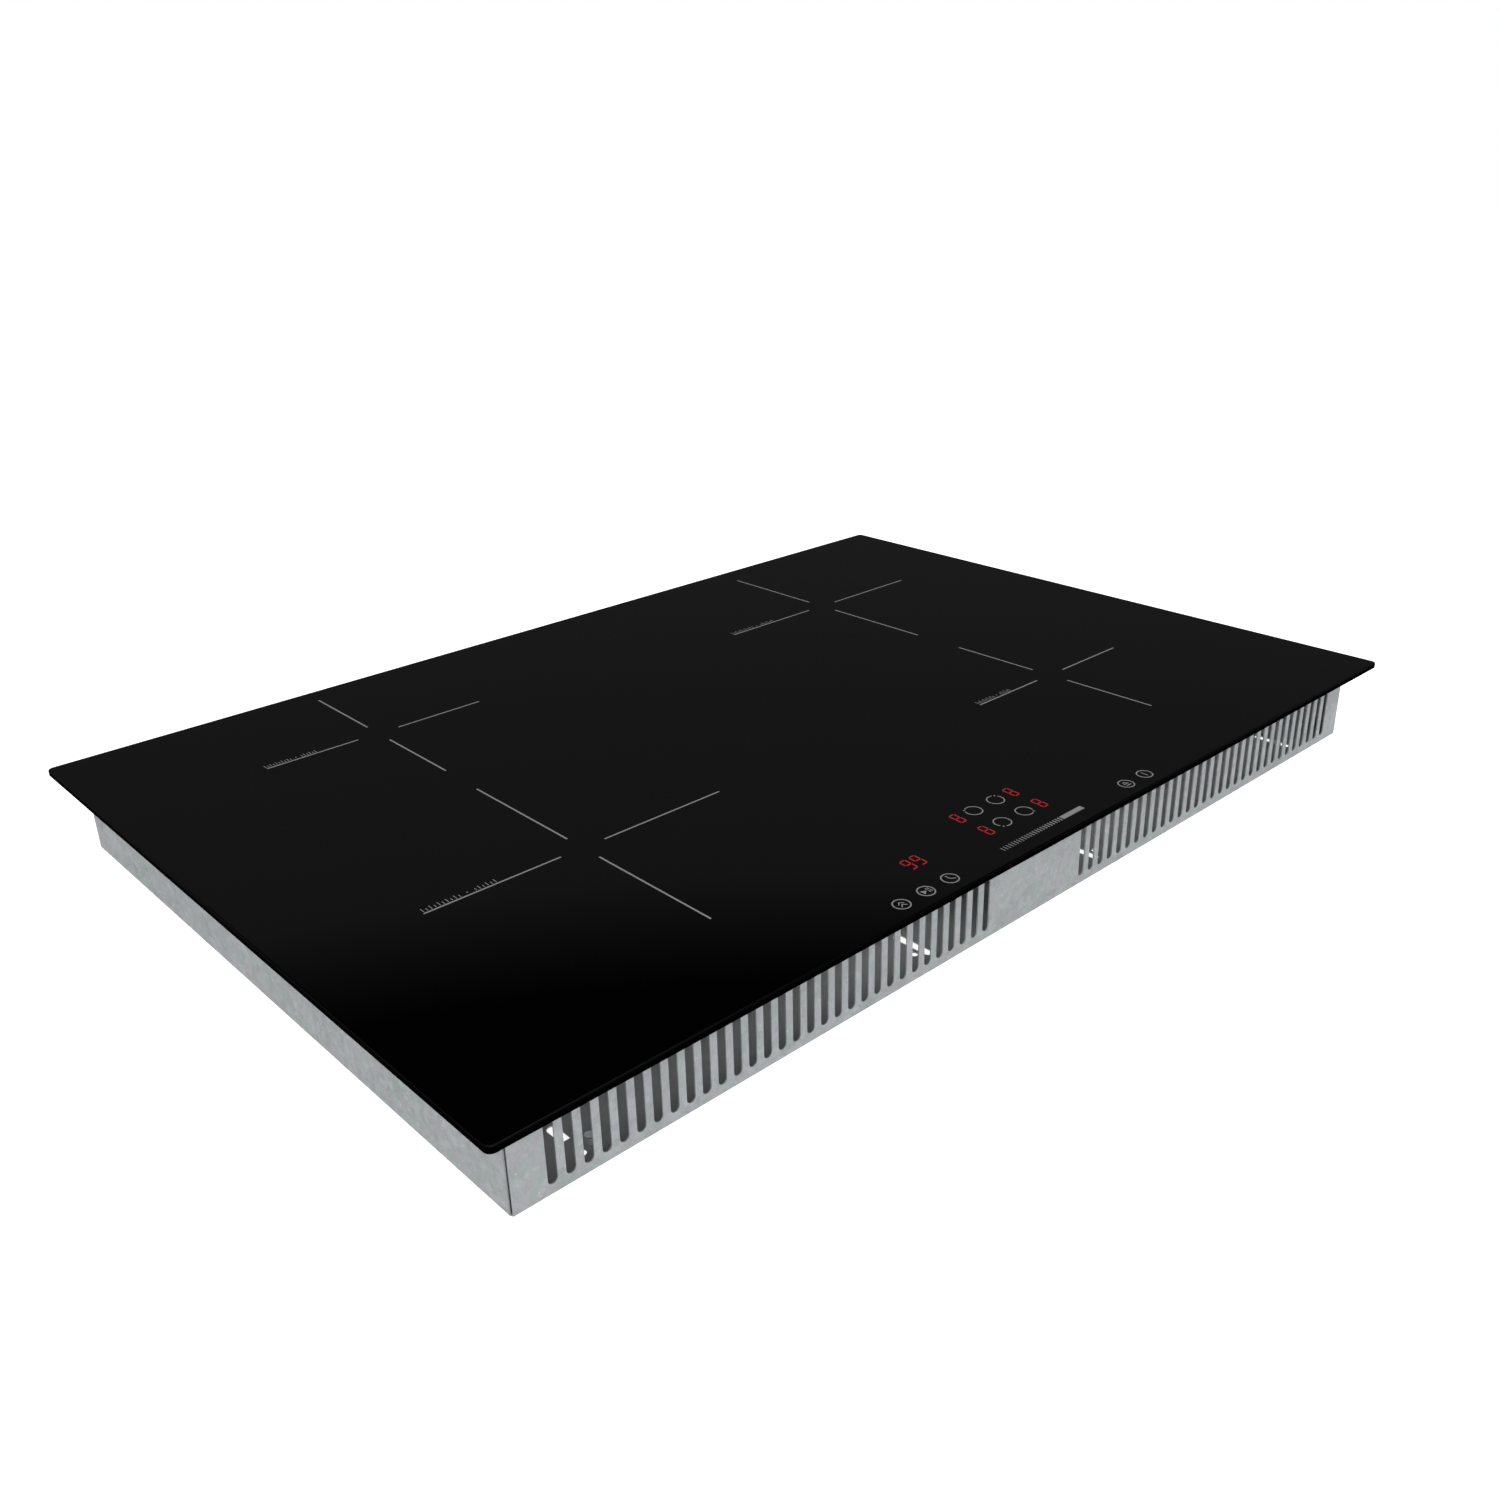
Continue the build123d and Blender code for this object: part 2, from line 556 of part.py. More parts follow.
for side_name, side in SIDES.items():
    with BuildPart() as shield_plate:
        plate_y = (PLATE_FRONT + PLATE_REAR) / 2
        slab(side * PLATE_X, plate_y, PLATE_UNDERSIDE, PLATE_WIDTH, PLATE_REAR - PLATE_FRONT,
             PLATE_THICKNESS, corner=6.0)
        for edge in (-1, 1):
            lip_x = side * PLATE_X + edge * (PLATE_WIDTH - PLATE_THICKNESS) / 2
            slab(lip_x, 0, PLATE_UNDERSIDE - PLATE_LIP_DEPTH, PLATE_THICKNESS, PLATE_LIP_LENGTH,
                 PLATE_LIP_DEPTH)
        coil_centres = [(x, y) for x, y, _, _ in COIL_SITES.values() if x * side > 0]
        with BuildSketch(Plane.XY.offset(PLATE_UNDERSIDE)):
            with Locations(*standoff_places(side)):
                Circle(SCREW_HOLE_RADIUS)
            with Locations((side * PANEL_FOOT_X, PANEL_FOOT_Y)):
                Circle(SCREW_SHANK_RADIUS)
            with Locations(*coil_centres):
                Circle(LEAD_HOLE_RADIUS)
        extrude(amount=PLATE_THICKNESS, mode=Mode.SUBTRACT)
    save(shield_plate, f"shield_plate_{side_name}")

def board_posts(centre_x, centre_y, width, depth, rows):
    """Screw centres along the two long edges of a board."""
    reach_x = width / 2 - POST_INSET
    reach_y = depth / 2 - POST_INSET
    steps = [-reach_y + 2 * reach_y * i / (rows - 1) for i in range(rows)]
    return [(centre_x + sx * reach_x, centre_y + y) for sx in (-1, 1) for y in steps]


def fan_lugs(side):
    """Screw centres of the two lugs of one fan frame."""
    return [(side * MODULE_X + end * FAN_LUG_REACH, FAN_Y) for end in (-1, 1)]


filter_posts = board_posts(0, FILTER_Y, *FILTER_SIZE, 2)
tall_standoffs = [place for side in SIDES.values() for place in standoff_places(side)]
short_standoffs = filter_posts + [place for side in SIDES.values() for place in fan_lugs(side)]
with BuildPart() as plate_standoffs:
    for places, top in ((tall_standoffs, PLATE_UNDERSIDE), (short_standoffs, FILTER_BOARD_Z)):
        with BuildSketch(Plane.XY.offset(SHEET)):
            with Locations(*places):
                RegularPolygon(STANDOFF_RADIUS, 6)
        extrude(amount=top - SHEET)
        with BuildSketch(Plane.XY.offset(top)):
            with Locations(*places):
                Circle(SCREW_SHANK_RADIUS)
        extrude(amount=-SCREW_SHANK_LENGTH + 1, mode=Mode.SUBTRACT)
save(plate_standoffs, "plate_standoffs")


# ---------------------------------------------------------------- generator modules under the shield plates

def bare_board(centre_x, centre_y, z, width, depth, posts):
    """Adds a circuit board with its screw holes."""
    slab(centre_x, centre_y, z, width, depth, BOARD_THICKNESS, corner=2.0)
    with BuildSketch(Plane.XY.offset(z)) as holes:
        with Locations(*posts):
            Circle(SCREW_HOLE_RADIUS)
    extrude(holes.sketch, amount=BOARD_THICKNESS, mode=Mode.SUBTRACT)


module_posts = {}
for side_name, side in SIDES.items():
    module_x = side * MODULE_X
    posts = board_posts(module_x, POWER_BOARD_Y, POWER_BOARD_WIDTH, POWER_BOARD_DEPTH, 3)
    module_posts[side_name] = posts

    with BuildPart() as board_holder:
        holder_width = POWER_BOARD_WIDTH + 2 * HOLDER_MARGIN
        holder_depth = POWER_BOARD_DEPTH + 2 * HOLDER_MARGIN
        slab(module_x, POWER_BOARD_Y, SHEET, holder_width, holder_depth, HOLDER_FLOOR, corner=3.0)
        slab(module_x, POWER_BOARD_Y, SHEET, holder_width, holder_depth, HOLDER_RIM_HEIGHT, corner=3.0)
        slab(module_x, POWER_BOARD_Y, SHEET + HOLDER_FLOOR, holder_width - 4, holder_depth - 4,
             HOLDER_RIM_HEIGHT, corner=2.0, mode=Mode.SUBTRACT)
        with BuildSketch(Plane.XY.offset(SHEET)):
            with Locations(*posts):
                Circle(POST_RADIUS)
        extrude(amount=POWER_BOARD_Z - SHEET)
        with BuildSketch(Plane.XY.offset(POWER_BOARD_Z)):
            with Locations(*posts):
                Circle(SCREW_SHANK_RADIUS)
        extrude(amount=-SCREW_SHANK_LENGTH + 1, mode=Mode.SUBTRACT)
        with BuildSketch(Plane.XY.offset(SHEET)):
            with Locations((module_x, POWER_BOARD_Y)):
                with GridLocations(46, 58, 3, 4):
                    SlotOverall(30, 12)
        extrude(amount=HOLDER_FLOOR, mode=Mode.SUBTRACT)
    save(board_holder, f"board_holder_{side_name}")

    with BuildPart() as power_board:
        bare_board(module_x, POWER_BOARD_Y, POWER_BOARD_Z, POWER_BOARD_WIDTH, POWER_BOARD_DEPTH, posts)
    save(power_board, f"power_board_{side_name}")

    with BuildPart() as heatsink:
        inner_width = HEATSINK_WIDTH - 2 * HEATSINK_SIDE
        with BuildSketch(Plane.XZ.offset(-HEATSINK_Y)):
            with Locations((module_x, POWER_BOARD_TOP + HEATSINK_BASE / 2)):
                Rectangle(HEATSINK_WIDTH, HEATSINK_BASE)
            with Locations((module_x, POWER_BOARD_TOP + HEATSINK_HEIGHT / 2)):
                with GridLocations(inner_width / (FINS + 1), 1, FINS, 1):
                    Rectangle(FIN_THICKNESS, HEATSINK_HEIGHT)
                with GridLocations(HEATSINK_WIDTH - HEATSINK_SIDE, 1, 2, 1):
                    Rectangle(HEATSINK_SIDE, HEATSINK_HEIGHT)
        extrude(amount=HEATSINK_LENGTH / 2, both=True)
    save(heatsink, f"heatsink_{side_name}")

    with BuildPart() as power_transistors:
        package_x, package_y, package_z = TRANSISTOR_SIZE
        package_low = POWER_BOARD_TOP + TRANSISTOR_LEG_HEIGHT
        for wall, along in ((-1, -18.0), (-1, 18.0), (1, 0.0)):
            centre_x = module_x + wall * (HEATSINK_WIDTH + package_x) / 2
            centre_y = HEATSINK_Y + along
            slab(centre_x, centre_y, package_low, package_x, package_y, package_z)
            for leg in (-1, 0, 1):
                leg_y = centre_y + leg * TRANSISTOR_LEG_PITCH
                slab(centre_x, leg_y, POWER_BOARD_TOP, 0.8, 1.4, TRANSISTOR_LEG_HEIGHT)
            with BuildSketch(Plane.YZ.offset(centre_x)):
                with Locations((centre_y, package_low + 2 * package_z / 3)):
                    Circle(1.8)
            extrude(amount=package_x, both=True, mode=Mode.SUBTRACT)
    save(power_transistors, f"power_transistors_{side_name}")

    with BuildPart() as board_capacitors:
        for x, y, width, depth, height in BOARD_BOXES:
            slab(module_x + x, POWER_BOARD_Y + y, POWER_BOARD_TOP, width, depth, height, corner=1.5)
        for x, y, radius, height in BOARD_CANS:
            disc(module_x + x, POWER_BOARD_Y + y, POWER_BOARD_TOP, radius, height)
        slab(side * RIBBON_X, -154, POWER_BOARD_TOP, 16, 8, 6)
    save(board_capacitors, f"board_capacitors_{side_name}")

    with BuildPart() as fan_frame:
        slab(module_x, FAN_Y, FAN_BOTTOM, FAN_SIZE, FAN_SIZE, FAN_HEIGHT, corner=FAN_CORNER_RADIUS)
        lug_length = 2 * (FAN_LUG_REACH - FAN_SIZE / 2) + 1
        for lug_x, lug_y in fan_lugs(side):
            slab(lug_x, lug_y, FILTER_BOARD_Z, lug_length, FAN_LUG_WIDTH, BOARD_THICKNESS, corner=2.0)
            disc(lug_x, lug_y, FILTER_BOARD_Z, SCREW_HOLE_RADIUS, BOARD_THICKNESS, mode=Mode.SUBTRACT)
        disc(module_x, FAN_Y, FAN_BOTTOM, FAN_BORE_RADIUS, FAN_HEIGHT, mode=Mode.SUBTRACT)
        with BuildSketch(Plane.XY.offset(FAN_TOP - FAN_STRUT_HEIGHT)):
            with Locations((module_x, FAN_Y)):
                Circle(FAN_HUB_RADIUS)
                with PolarLocations((FAN_BORE_RADIUS + FAN_HUB_RADIUS) / 2, 4, start_angle=45):
                    Rectangle(FAN_BORE_RADIUS - FAN_HUB_RADIUS + 3, 4)
        extrude(amount=FAN_STRUT_HEIGHT)
        bearing_low = FAN_BOTTOM + FAN_BEARING_DROP
        bearing_length = FAN_TOP - FAN_STRUT_HEIGHT - bearing_low
        disc(module_x, FAN_Y, bearing_low, FAN_BEARING_RADIUS, bearing_length)
        shaft_bore = FAN_SHAFT_RADIUS + FAN_SHAFT_CLEARANCE
        disc(module_x, FAN_Y, bearing_low, shaft_bore, FAN_TOP - 1 - bearing_low, mode=Mode.SUBTRACT)
        with BuildSketch(Plane.XY.offset(FAN_BOTTOM)):
            with Locations((module_x, FAN_Y)):
                with GridLocations(FAN_SIZE - 9, FAN_SIZE - 9, 2, 2):
                    Circle(2.2)
        extrude(amount=FAN_HEIGHT, mode=Mode.SUBTRACT)
    save(fan_frame, f"fan_frame_{side_name}")

    with BuildPart() as fan_rotor:
        hub_low = FAN_BOTTOM + 1
        hub_high = FAN_TOP - FAN_STRUT_HEIGHT - 0.8
        blade_middle = (hub_low + hub_high) / 2
        blade_span = BLADE_TIP_RADIUS - FAN_HUB_RADIUS + 3
        for blade in range(BLADES):
            blade_axis = Rotation(0, 0, 360 * blade / BLADES)
            place = Pos(module_x, FAN_Y, blade_middle) * blade_axis
            pitch = Pos((FAN_HUB_RADIUS + BLADE_TIP_RADIUS) / 2 + 1, 0, 0) * Rotation(BLADE_ANGLE, 0, 0)
            with Locations(place * pitch):
                Box(blade_span, 21, BLADE_THICKNESS)
        with BuildSketch(Plane.XY.offset(hub_low)):
            with Locations((module_x, FAN_Y)):
                Circle(BLADE_TIP_RADIUS)
        extrude(amount=hub_high - hub_low, mode=Mode.INTERSECT)
        disc(module_x, FAN_Y, hub_low, FAN_HUB_RADIUS, hub_high - hub_low)
        disc(module_x, FAN_Y, hub_low + 2, FAN_HUB_RADIUS - 1.5, hub_high, mode=Mode.SUBTRACT)
        disc(module_x, FAN_Y, hub_low, 3.0, 5)
        disc(module_x, FAN_Y, hub_low, FAN_SHAFT_RADIUS, FAN_TOP - 1.5 - hub_low)
    save(fan_rotor, f"fan_rotor_{side_name}")


# ---------------------------------------------------------------- control unit under the front of the glass
with BuildPart() as control_board_holder:
    panel_y = (PANEL_FRONT + PANEL_REAR) / 2
    panel_depth = PANEL_REAR - PANEL_FRONT
    wall_height = CONTROL_BOARD_Z - PANEL_UNDERSIDE
    slab(0, panel_y, PANEL_UNDERSIDE, PANEL_WIDTH, panel_depth, PANEL_FLOOR, corner=2.0)
    with BuildSketch(Plane.XY.offset(PANEL_UNDERSIDE)):
        with Locations((0, panel_y)):
            RectangleRounded(PANEL_WIDTH, panel_depth, 2.0)
            RectangleRounded(PANEL_WIDTH - 5, panel_depth - 5, 1.0, mode=Mode.SUBTRACT)
    extrude(amount=wall_height)
    # Two feet reach back and are screwed to the shield plates.
    riser_height = PANEL_UNDERSIDE + PANEL_FLOOR - PLATE_TOP
    foot_rear = PANEL_FOOT_Y + PANEL_FOOT_WIDTH / 2
    foot_depth = foot_rear - PANEL_REAR
    for side in SIDES.values():
        foot_x = side * PANEL_FOOT_X
        slab(foot_x, PANEL_REAR, PLATE_TOP, PANEL_FOOT_WIDTH, 6, riser_height)
        slab(foot_x, foot_rear - foot_depth / 2, PLATE_TOP, PANEL_FOOT_WIDTH, foot_depth,
             PANEL_FOOT_THICKNESS)
        disc(foot_x, PANEL_FOOT_Y, PLATE_TOP, SCREW_HOLE_RADIUS, PANEL_FOOT_THICKNESS,
             mode=Mode.SUBTRACT)
save(control_board_holder, "control_board_holder")

with BuildPart() as control_board:
    control_board_size = (PANEL_WIDTH - 4, panel_depth - 3)
    slab(0, panel_y, CONTROL_BOARD_Z, *control_board_size, BOARD_THICKNESS, corner=1.5)
    connector_y = PANEL_REAR - 3
    for connector_x in (-RIBBON_X, 0, RIBBON_X):
        slab(connector_x, connector_y, CONTROL_BOARD_TOP, 20, CONNECTOR_DEPTH, 5)
    slab(-40, panel_y, CONTROL_BOARD_TOP, 9, 9, 1.5)
    slab(60, panel_y, CONTROL_BOARD_TOP, 14, 14, 1.8)
save(control_board, "control_board")


def digit(x, y):
    """Raised seven-segment pattern on top of a display module."""
    half_height = DIGIT_HEIGHT / 2
    half_digit = DIGIT_WIDTH / 2
    with BuildSketch(Plane.XY.offset(DISPLAY_TOP)) as segments:
        for bar_y in (-half_height, 0, half_height):
            with Locations((x, y + bar_y)):
                Rectangle(DIGIT_WIDTH - 2 * SEGMENT_WIDTH, SEGMENT_WIDTH)
        for bar_x in (-half_digit, half_digit):
            for bar_y in (-half_height / 2, half_height / 2):
                with Locations((x + bar_x, y + bar_y)):
                    Rectangle(SEGMENT_WIDTH, half_height - SEGMENT_WIDTH)
    extrude(segments.sketch, amount=0.2)


with BuildPart() as display_modules:
    display_height = DISPLAY_TOP - CONTROL_BOARD_TOP
    for digit_x, digit_y in DIGIT_SITES:
        slab(digit_x, digit_y, CONTROL_BOARD_TOP, *DIGIT_BODY, display_height)
        digit(digit_x, digit_y)
    timer_x, timer_y = TIMER_SITE
    timer_width = DIGIT_BODY[0] + TIMER_DIGIT_PITCH
    slab(timer_x, timer_y, CONTROL_BOARD_TOP, timer_width, DIGIT_BODY[1], display_height)
    for step in (-0.5, 0.5):
        digit(timer_x + step * TIMER_DIGIT_PITCH, timer_y)
save(display_modules, "display_modules")

with BuildPart() as touch_foil:
    foil_z = GLASS_UNDERSIDE - FOIL_THICKNESS
    slab(0, (FOIL_FRONT + FOIL_REAR) / 2, foil_z, 2 * FOIL_HALF_WIDTH, FOIL_REAR - FOIL_FRONT, FOIL_THICKNESS)
    with BuildSketch(Plane.XY.offset(foil_z)):
        with Locations(*DIGIT_SITES):
            Rectangle(*DIGIT_BODY)
        with Locations(TIMER_SITE):
            Rectangle(timer_width, DIGIT_BODY[1])
    extrude(amount=FOIL_THICKNESS, mode=Mode.SUBTRACT)
    tail_top = foil_z + FOIL_THICKNESS / 2
    tail_z = CONTROL_BOARD_TOP + 3
    with BuildSketch(Plane.YZ.offset(-FOIL_TAIL_WIDTH / 2)):
        with BuildLine() as tail_line:
            FilletPolyline(
                (FOIL_REAR - 0.5, tail_top),
                (FOIL_REAR + 2.4, tail_top),
                (FOIL_REAR + 2.4, tail_z),
                (PANEL_REAR - 0.5, tail_z),
                radius=0.8,
            )
        trace(tail_line.line, FOIL_THICKNESS)
    extrude(amount=FOIL_TAIL_WIDTH)
save(touch_foil, "touch_foil")

with BuildPart() as ribbon_cables:
    ribbon_high = CONTROL_BOARD_TOP + 2.5
    ribbon_low = POWER_BOARD_TOP + 3
    for side in SIDES.values():
        with BuildSketch(Plane.YZ.offset(side * RIBBON_X - RIBBON_WIDTH / 2)):
            with BuildLine() as ribbon_line:
                FilletPolyline(
                    (connector_y + CONNECTOR_DEPTH / 2, ribbon_high),
                    (-187.5, ribbon_high),
                    (-187.5, ribbon_low),
                    (-158, ribbon_low),
                    radius=2.5,
                )
            trace(ribbon_line.line, RIBBON_THICKNESS)
        extrude(amount=RIBBON_WIDTH)
save(ribbon_cables, "ribbon_cables")

# ---------------------------------------------------------------- mains filter between the modules
with BuildPart() as filter_board:
    bare_board(0, FILTER_Y, FILTER_BOARD_Z, *FILTER_SIZE, filter_posts)
save(filter_board, "filter_board")

with BuildPart() as filter_choke:
    choke_x, choke_y = CHOKE_SITE
    choke_z = FILTER_BOARD_TOP + CHOKE_WIRE + CHOKE_LACQUER
    disc(choke_x, choke_y, choke_z, CHOKE_OUTER, CHOKE_HEIGHT)
    disc(choke_x, choke_y, choke_z, CHOKE_INNER, CHOKE_HEIGHT, mode=Mode.SUBTRACT)
    section_width = CHOKE_OUTER - CHOKE_INNER + 2 * CHOKE_LACQUER
    section_height = CHOKE_HEIGHT + 2 * CHOKE_LACQUER
    section_radius = (CHOKE_OUTER + CHOKE_INNER) / 2
    for winding_start in (-66, 114):
        for turn in range(CHOKE_TURNS):
            angle = winding_start + turn * CHOKE_TURN_ANGLE
            turn_plane = Plane(
                origin=(choke_x, choke_y, choke_z + CHOKE_HEIGHT / 2),
                x_dir=(cos(radians(angle)), sin(radians(angle)), 0),
                z_dir=(sin(radians(angle)), -cos(radians(angle)), 0),
            )
            with BuildSketch(turn_plane):
                with Locations((section_radius, 0)):
                    RectangleRounded(section_width + 2 * CHOKE_WIRE, section_height + 2 * CHOKE_WIRE, 1.5)
                    Rectangle(section_width, section_height, mode=Mode.SUBTRACT)
            extrude(amount=CHOKE_WIRE / 2, both=True)
save(filter_choke, "filter_choke")

with BuildPart() as filter_capacitors:
    for x, y, width, depth, height in FILTER_BOXES:
        slab(x, y, FILTER_BOARD_TOP, width, depth, height, corner=1.0)
save(filter_capacitors, "filter_capacitors")


# ---------------------------------------------------------------- mains inlet in the rear wall
def along_y(x, z, radius, y_low, y_high, mode=Mode.ADD):
    """Adds or cuts a cylinder lying along Y."""
    with BuildSketch(Plane.XZ.offset(-y_low)) as outline:
        with Locations((x, z)):
            Circle(radius)
    extrude(outline.sketch, amount=y_low - y_high, mode=mode)


def along_x(y, z, radius, x_low, x_high, mode=Mode.ADD):
    """Adds or cuts a cylinder lying along X."""
    with BuildSketch(Plane.YZ.offset(x_low)) as outline:
        with Locations((y, z)):
            Circle(radius)
    extrude(outline.sketch, amount=x_high - x_low, mode=mode)


lead_rows = [204.0 + 7.0 * i for i in range(SUPPLY_LEADS)]
lug_spans = (
    (COVER_LEFT - LUG_GAP - LUG_WIDTH, COVER_LEFT - LUG_GAP),
    (COVER_RIGHT + LUG_GAP, COVER_RIGHT + LUG_GAP + LUG_WIDTH),
)
with BuildPart() as terminal_box:
    box_x = (TERMINAL_LEFT + TERMINAL_RIGHT) / 2
    box_width = TERMINAL_RIGHT - TERMINAL_LEFT
    box_height = TERMINAL_TOP - TERMINAL_BOTTOM
    box_depth = BEZEL_REAR - TERMINAL_FRONT
    box_y = TERMINAL_FRONT + box_depth / 2
    slab(box_x, box_y, TERMINAL_BOTTOM, box_width, box_depth, box_height)
    slab(box_x, TRAY_REAR + BEZEL_THICKNESS / 2, TERMINAL_BOTTOM - BEZEL_MARGIN + 0.5,
         box_width + 2 * BEZEL_MARGIN, BEZEL_THICKNESS, box_height + 2 * BEZEL_MARGIN - 0.5)
    slab(box_x, TERMINAL_FRONT + TERMINAL_WALL + (TRAY_REAR - TERMINAL_FRONT - TERMINAL_WALL) / 2,
         TERMINAL_BOTTOM + TERMINAL_WALL, box_width - 2 * TERMINAL_WALL,
         TRAY_REAR - TERMINAL_FRONT - TERMINAL_WALL, box_height - 2 * TERMINAL_WALL, mode=Mode.SUBTRACT)
    mouth_left = COVER_LEFT + 2.5
    mouth_right = COVER_RIGHT - 2.5
    slab((mouth_left + mouth_right) / 2, TRAY_REAR, TERMINAL_BOTTOM + TERMINAL_WALL,
         mouth_right - mouth_left, 3 * BEZEL_THICKNESS, box_height - 2 * TERMINAL_WALL, mode=Mode.SUBTRACT)
    along_y(GLAND_X, GLAND_Z, GLAND_THREAD_RADIUS + 0.1, TRAY_REAR - 1, BEZEL_REAR + 1, mode=Mode.SUBTRACT)
    for lead_y in lead_rows:
        along_x(lead_y, SUPPLY_LEAD_Z, LEAD_RADIUS + 0.3, TERMINAL_LEFT - 1, TERMINAL_LEFT + 4,
                mode=Mode.SUBTRACT)
    for lug_low, lug_high in lug_spans:
        slab((lug_low + lug_high) / 2, (BEZEL_REAR + HINGE_Y) / 2, HINGE_Z - LUG_RADIUS, LUG_WIDTH,
             HINGE_Y - BEZEL_REAR, 2 * LUG_RADIUS)
        along_x(HINGE_Y, HINGE_Z, LUG_RADIUS, lug_low, lug_high)
        along_x(HINGE_Y, HINGE_Z, COVER_PIN_RADIUS + COVER_PIN_CLEARANCE, lug_low - 1, lug_high + 1,
                mode=Mode.SUBTRACT)
save(terminal_box, "terminal_box")

with BuildPart() as terminal_cover:
    cover_x = (COVER_LEFT + COVER_RIGHT) / 2
    cover_inner = BEZEL_REAR + COVER_GAP
    slab(cover_x, cover_inner + COVER_THICKNESS / 2, HINGE_Z, COVER_RIGHT - COVER_LEFT, COVER_THICKNESS,
         COVER_TOP - HINGE_Z)
    fillet(terminal_cover.edges().filter_by(Axis.Y).group_by(Axis.Z)[-1], 2.0)
    along_x(HINGE_Y, HINGE_Z, KNUCKLE_RADIUS, COVER_LEFT, COVER_RIGHT)
    along_x(HINGE_Y, HINGE_Z, COVER_PIN_RADIUS, COVER_LEFT - COVER_PIN_LENGTH, COVER_RIGHT + COVER_PIN_LENGTH)
    slab(cover_x, cover_inner - 1.4, 28.5, 14, 2.8, 1.5)
    with BuildSketch(Plane.XZ.offset(-cover_inner - COVER_THICKNESS)):
        with Locations((cover_x, 20)):
            with GridLocations(1, 4, 1, 3):
                SlotOverall(52, 1.6)
    extrude(amount=-0.6)
save(terminal_cover, "terminal_cover")

with BuildPart() as terminal_block:
    block_width = POLES * POLE_PITCH
    block_x = 211.0
    block_y = 211.0
    block_z = TERMINAL_BOTTOM + TERMINAL_WALL
    slab(block_x, block_y, block_z, block_width, 26, 8)
    for wall in range(POLES + 1):
        slab(block_x - block_width / 2 + wall * POLE_PITCH, block_y, block_z, 1.6, 26, 16)
    for pole in range(POLES):
        pole_x = block_x - block_width / 2 + (pole + 0.5) * POLE_PITCH
        for row_y in (-7, 7):
            disc(pole_x, block_y + row_y, block_z + 8, 3.6, 3.4)
            slab(pole_x, block_y + row_y, block_z + 10.4, 5.4, 1.0, 1.2, mode=Mode.SUBTRACT)
save(terminal_block, "terminal_block")

with BuildPart() as cable_gland:
    along_y(GLAND_X, GLAND_Z, GLAND_THREAD_RADIUS, GLAND_FRONT, BEZEL_REAR + 1)
    with BuildSketch(Plane.XZ.offset(-BEZEL_REAR)):
        with Locations((GLAND_X, GLAND_Z)):
            RegularPolygon(GLAND_FLANGE_RADIUS, 6)
    extrude(amount=-4)
    along_y(GLAND_X, GLAND_Z, GLAND_FLANGE_RADIUS - 1.2, BEZEL_REAR + 4, GLAND_REAR)
    fillet(cable_gland.faces().sort_by(Axis.Y)[-1].edges(), 3.0)
    along_y(GLAND_X, GLAND_Z, GLAND_BORE_RADIUS, GLAND_FRONT - 1, GLAND_REAR + 1, mode=Mode.SUBTRACT)
    with BuildSketch(Plane.XZ.offset(-TRAY_REAR)):
        with Locations((GLAND_X, GLAND_Z)):
            RegularPolygon(GLAND_FLANGE_RADIUS, 6)
            Circle(GLAND_THREAD_RADIUS + 0.1, mode=Mode.SUBTRACT)
    extrude(amount=5)
save(cable_gland, "cable_gland")

with BuildPart() as supply_leads:
    for index, lead_y in enumerate(lead_rows):
        lead_x = 34.0 - 12.0 * index
        with BuildLine() as lead_path:
            FilletPolyline(
                (block_x - block_width / 2 - 0.8, lead_y, SUPPLY_LEAD_Z),
                (lead_x, lead_y, SUPPLY_LEAD_Z),
                (lead_x, 154.0, SUPPLY_LEAD_Z),
                radius=15.0,
            )
        with BuildSketch(Plane(lead_path.line @ 0, z_dir=lead_path.line % 0)):
            Circle(LEAD_RADIUS)
        sweep(path=lead_path.line)
save(supply_leads, "supply_leads")

# ---------------------------------------------------------------- pan-head screws, all of one size
with BuildPart() as assembly_screws:
    screw_seats = [(x, y, PLATE_TOP) for x, y in tall_standoffs]
    screw_seats += [(x, y, POWER_BOARD_TOP) for posts in module_posts.values() for x, y in posts]
    screw_seats += [(x, y, FILTER_BOARD_TOP) for x, y in short_standoffs]
    screw_seats += [(side * PANEL_FOOT_X, PANEL_FOOT_Y, PLATE_TOP + PANEL_FOOT_THICKNESS)
                    for side in SIDES.values()]
    for seat_x, seat_y, seat_z in screw_seats:
        disc(seat_x, seat_y, seat_z, SCREW_HEAD_RADIUS, SCREW_HEAD_HEIGHT)
    fillet(assembly_screws.faces().filter_by(Plane.XY).filter_by(
        lambda f: any(abs(f.center().Z - z - SCREW_HEAD_HEIGHT) < 0.01 for _, _, z in screw_seats)
    ).edges(), 1.0)
    for seat_x, seat_y, seat_z in screw_seats:
        disc(seat_x, seat_y, seat_z, SCREW_SHANK_RADIUS, -SCREW_SHANK_LENGTH)
        with BuildSketch(Plane.XY.offset(seat_z + SCREW_HEAD_HEIGHT)):
            with Locations((seat_x, seat_y)):
                Rectangle(3.6, 0.8)
                Rectangle(0.8, 3.6)
        extrude(amount=-1.2, mode=Mode.SUBTRACT)
save(assembly_screws, "assembly_screws")
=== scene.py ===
"""Looks of the built-in induction cooktop: materials, printed marks, lit digits, light and camera.

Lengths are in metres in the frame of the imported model. MM turns millimetres into metres.
"""

import json
from math import cos, pi, radians, sin, tan

import bpy
from mathutils import Matrix, Vector


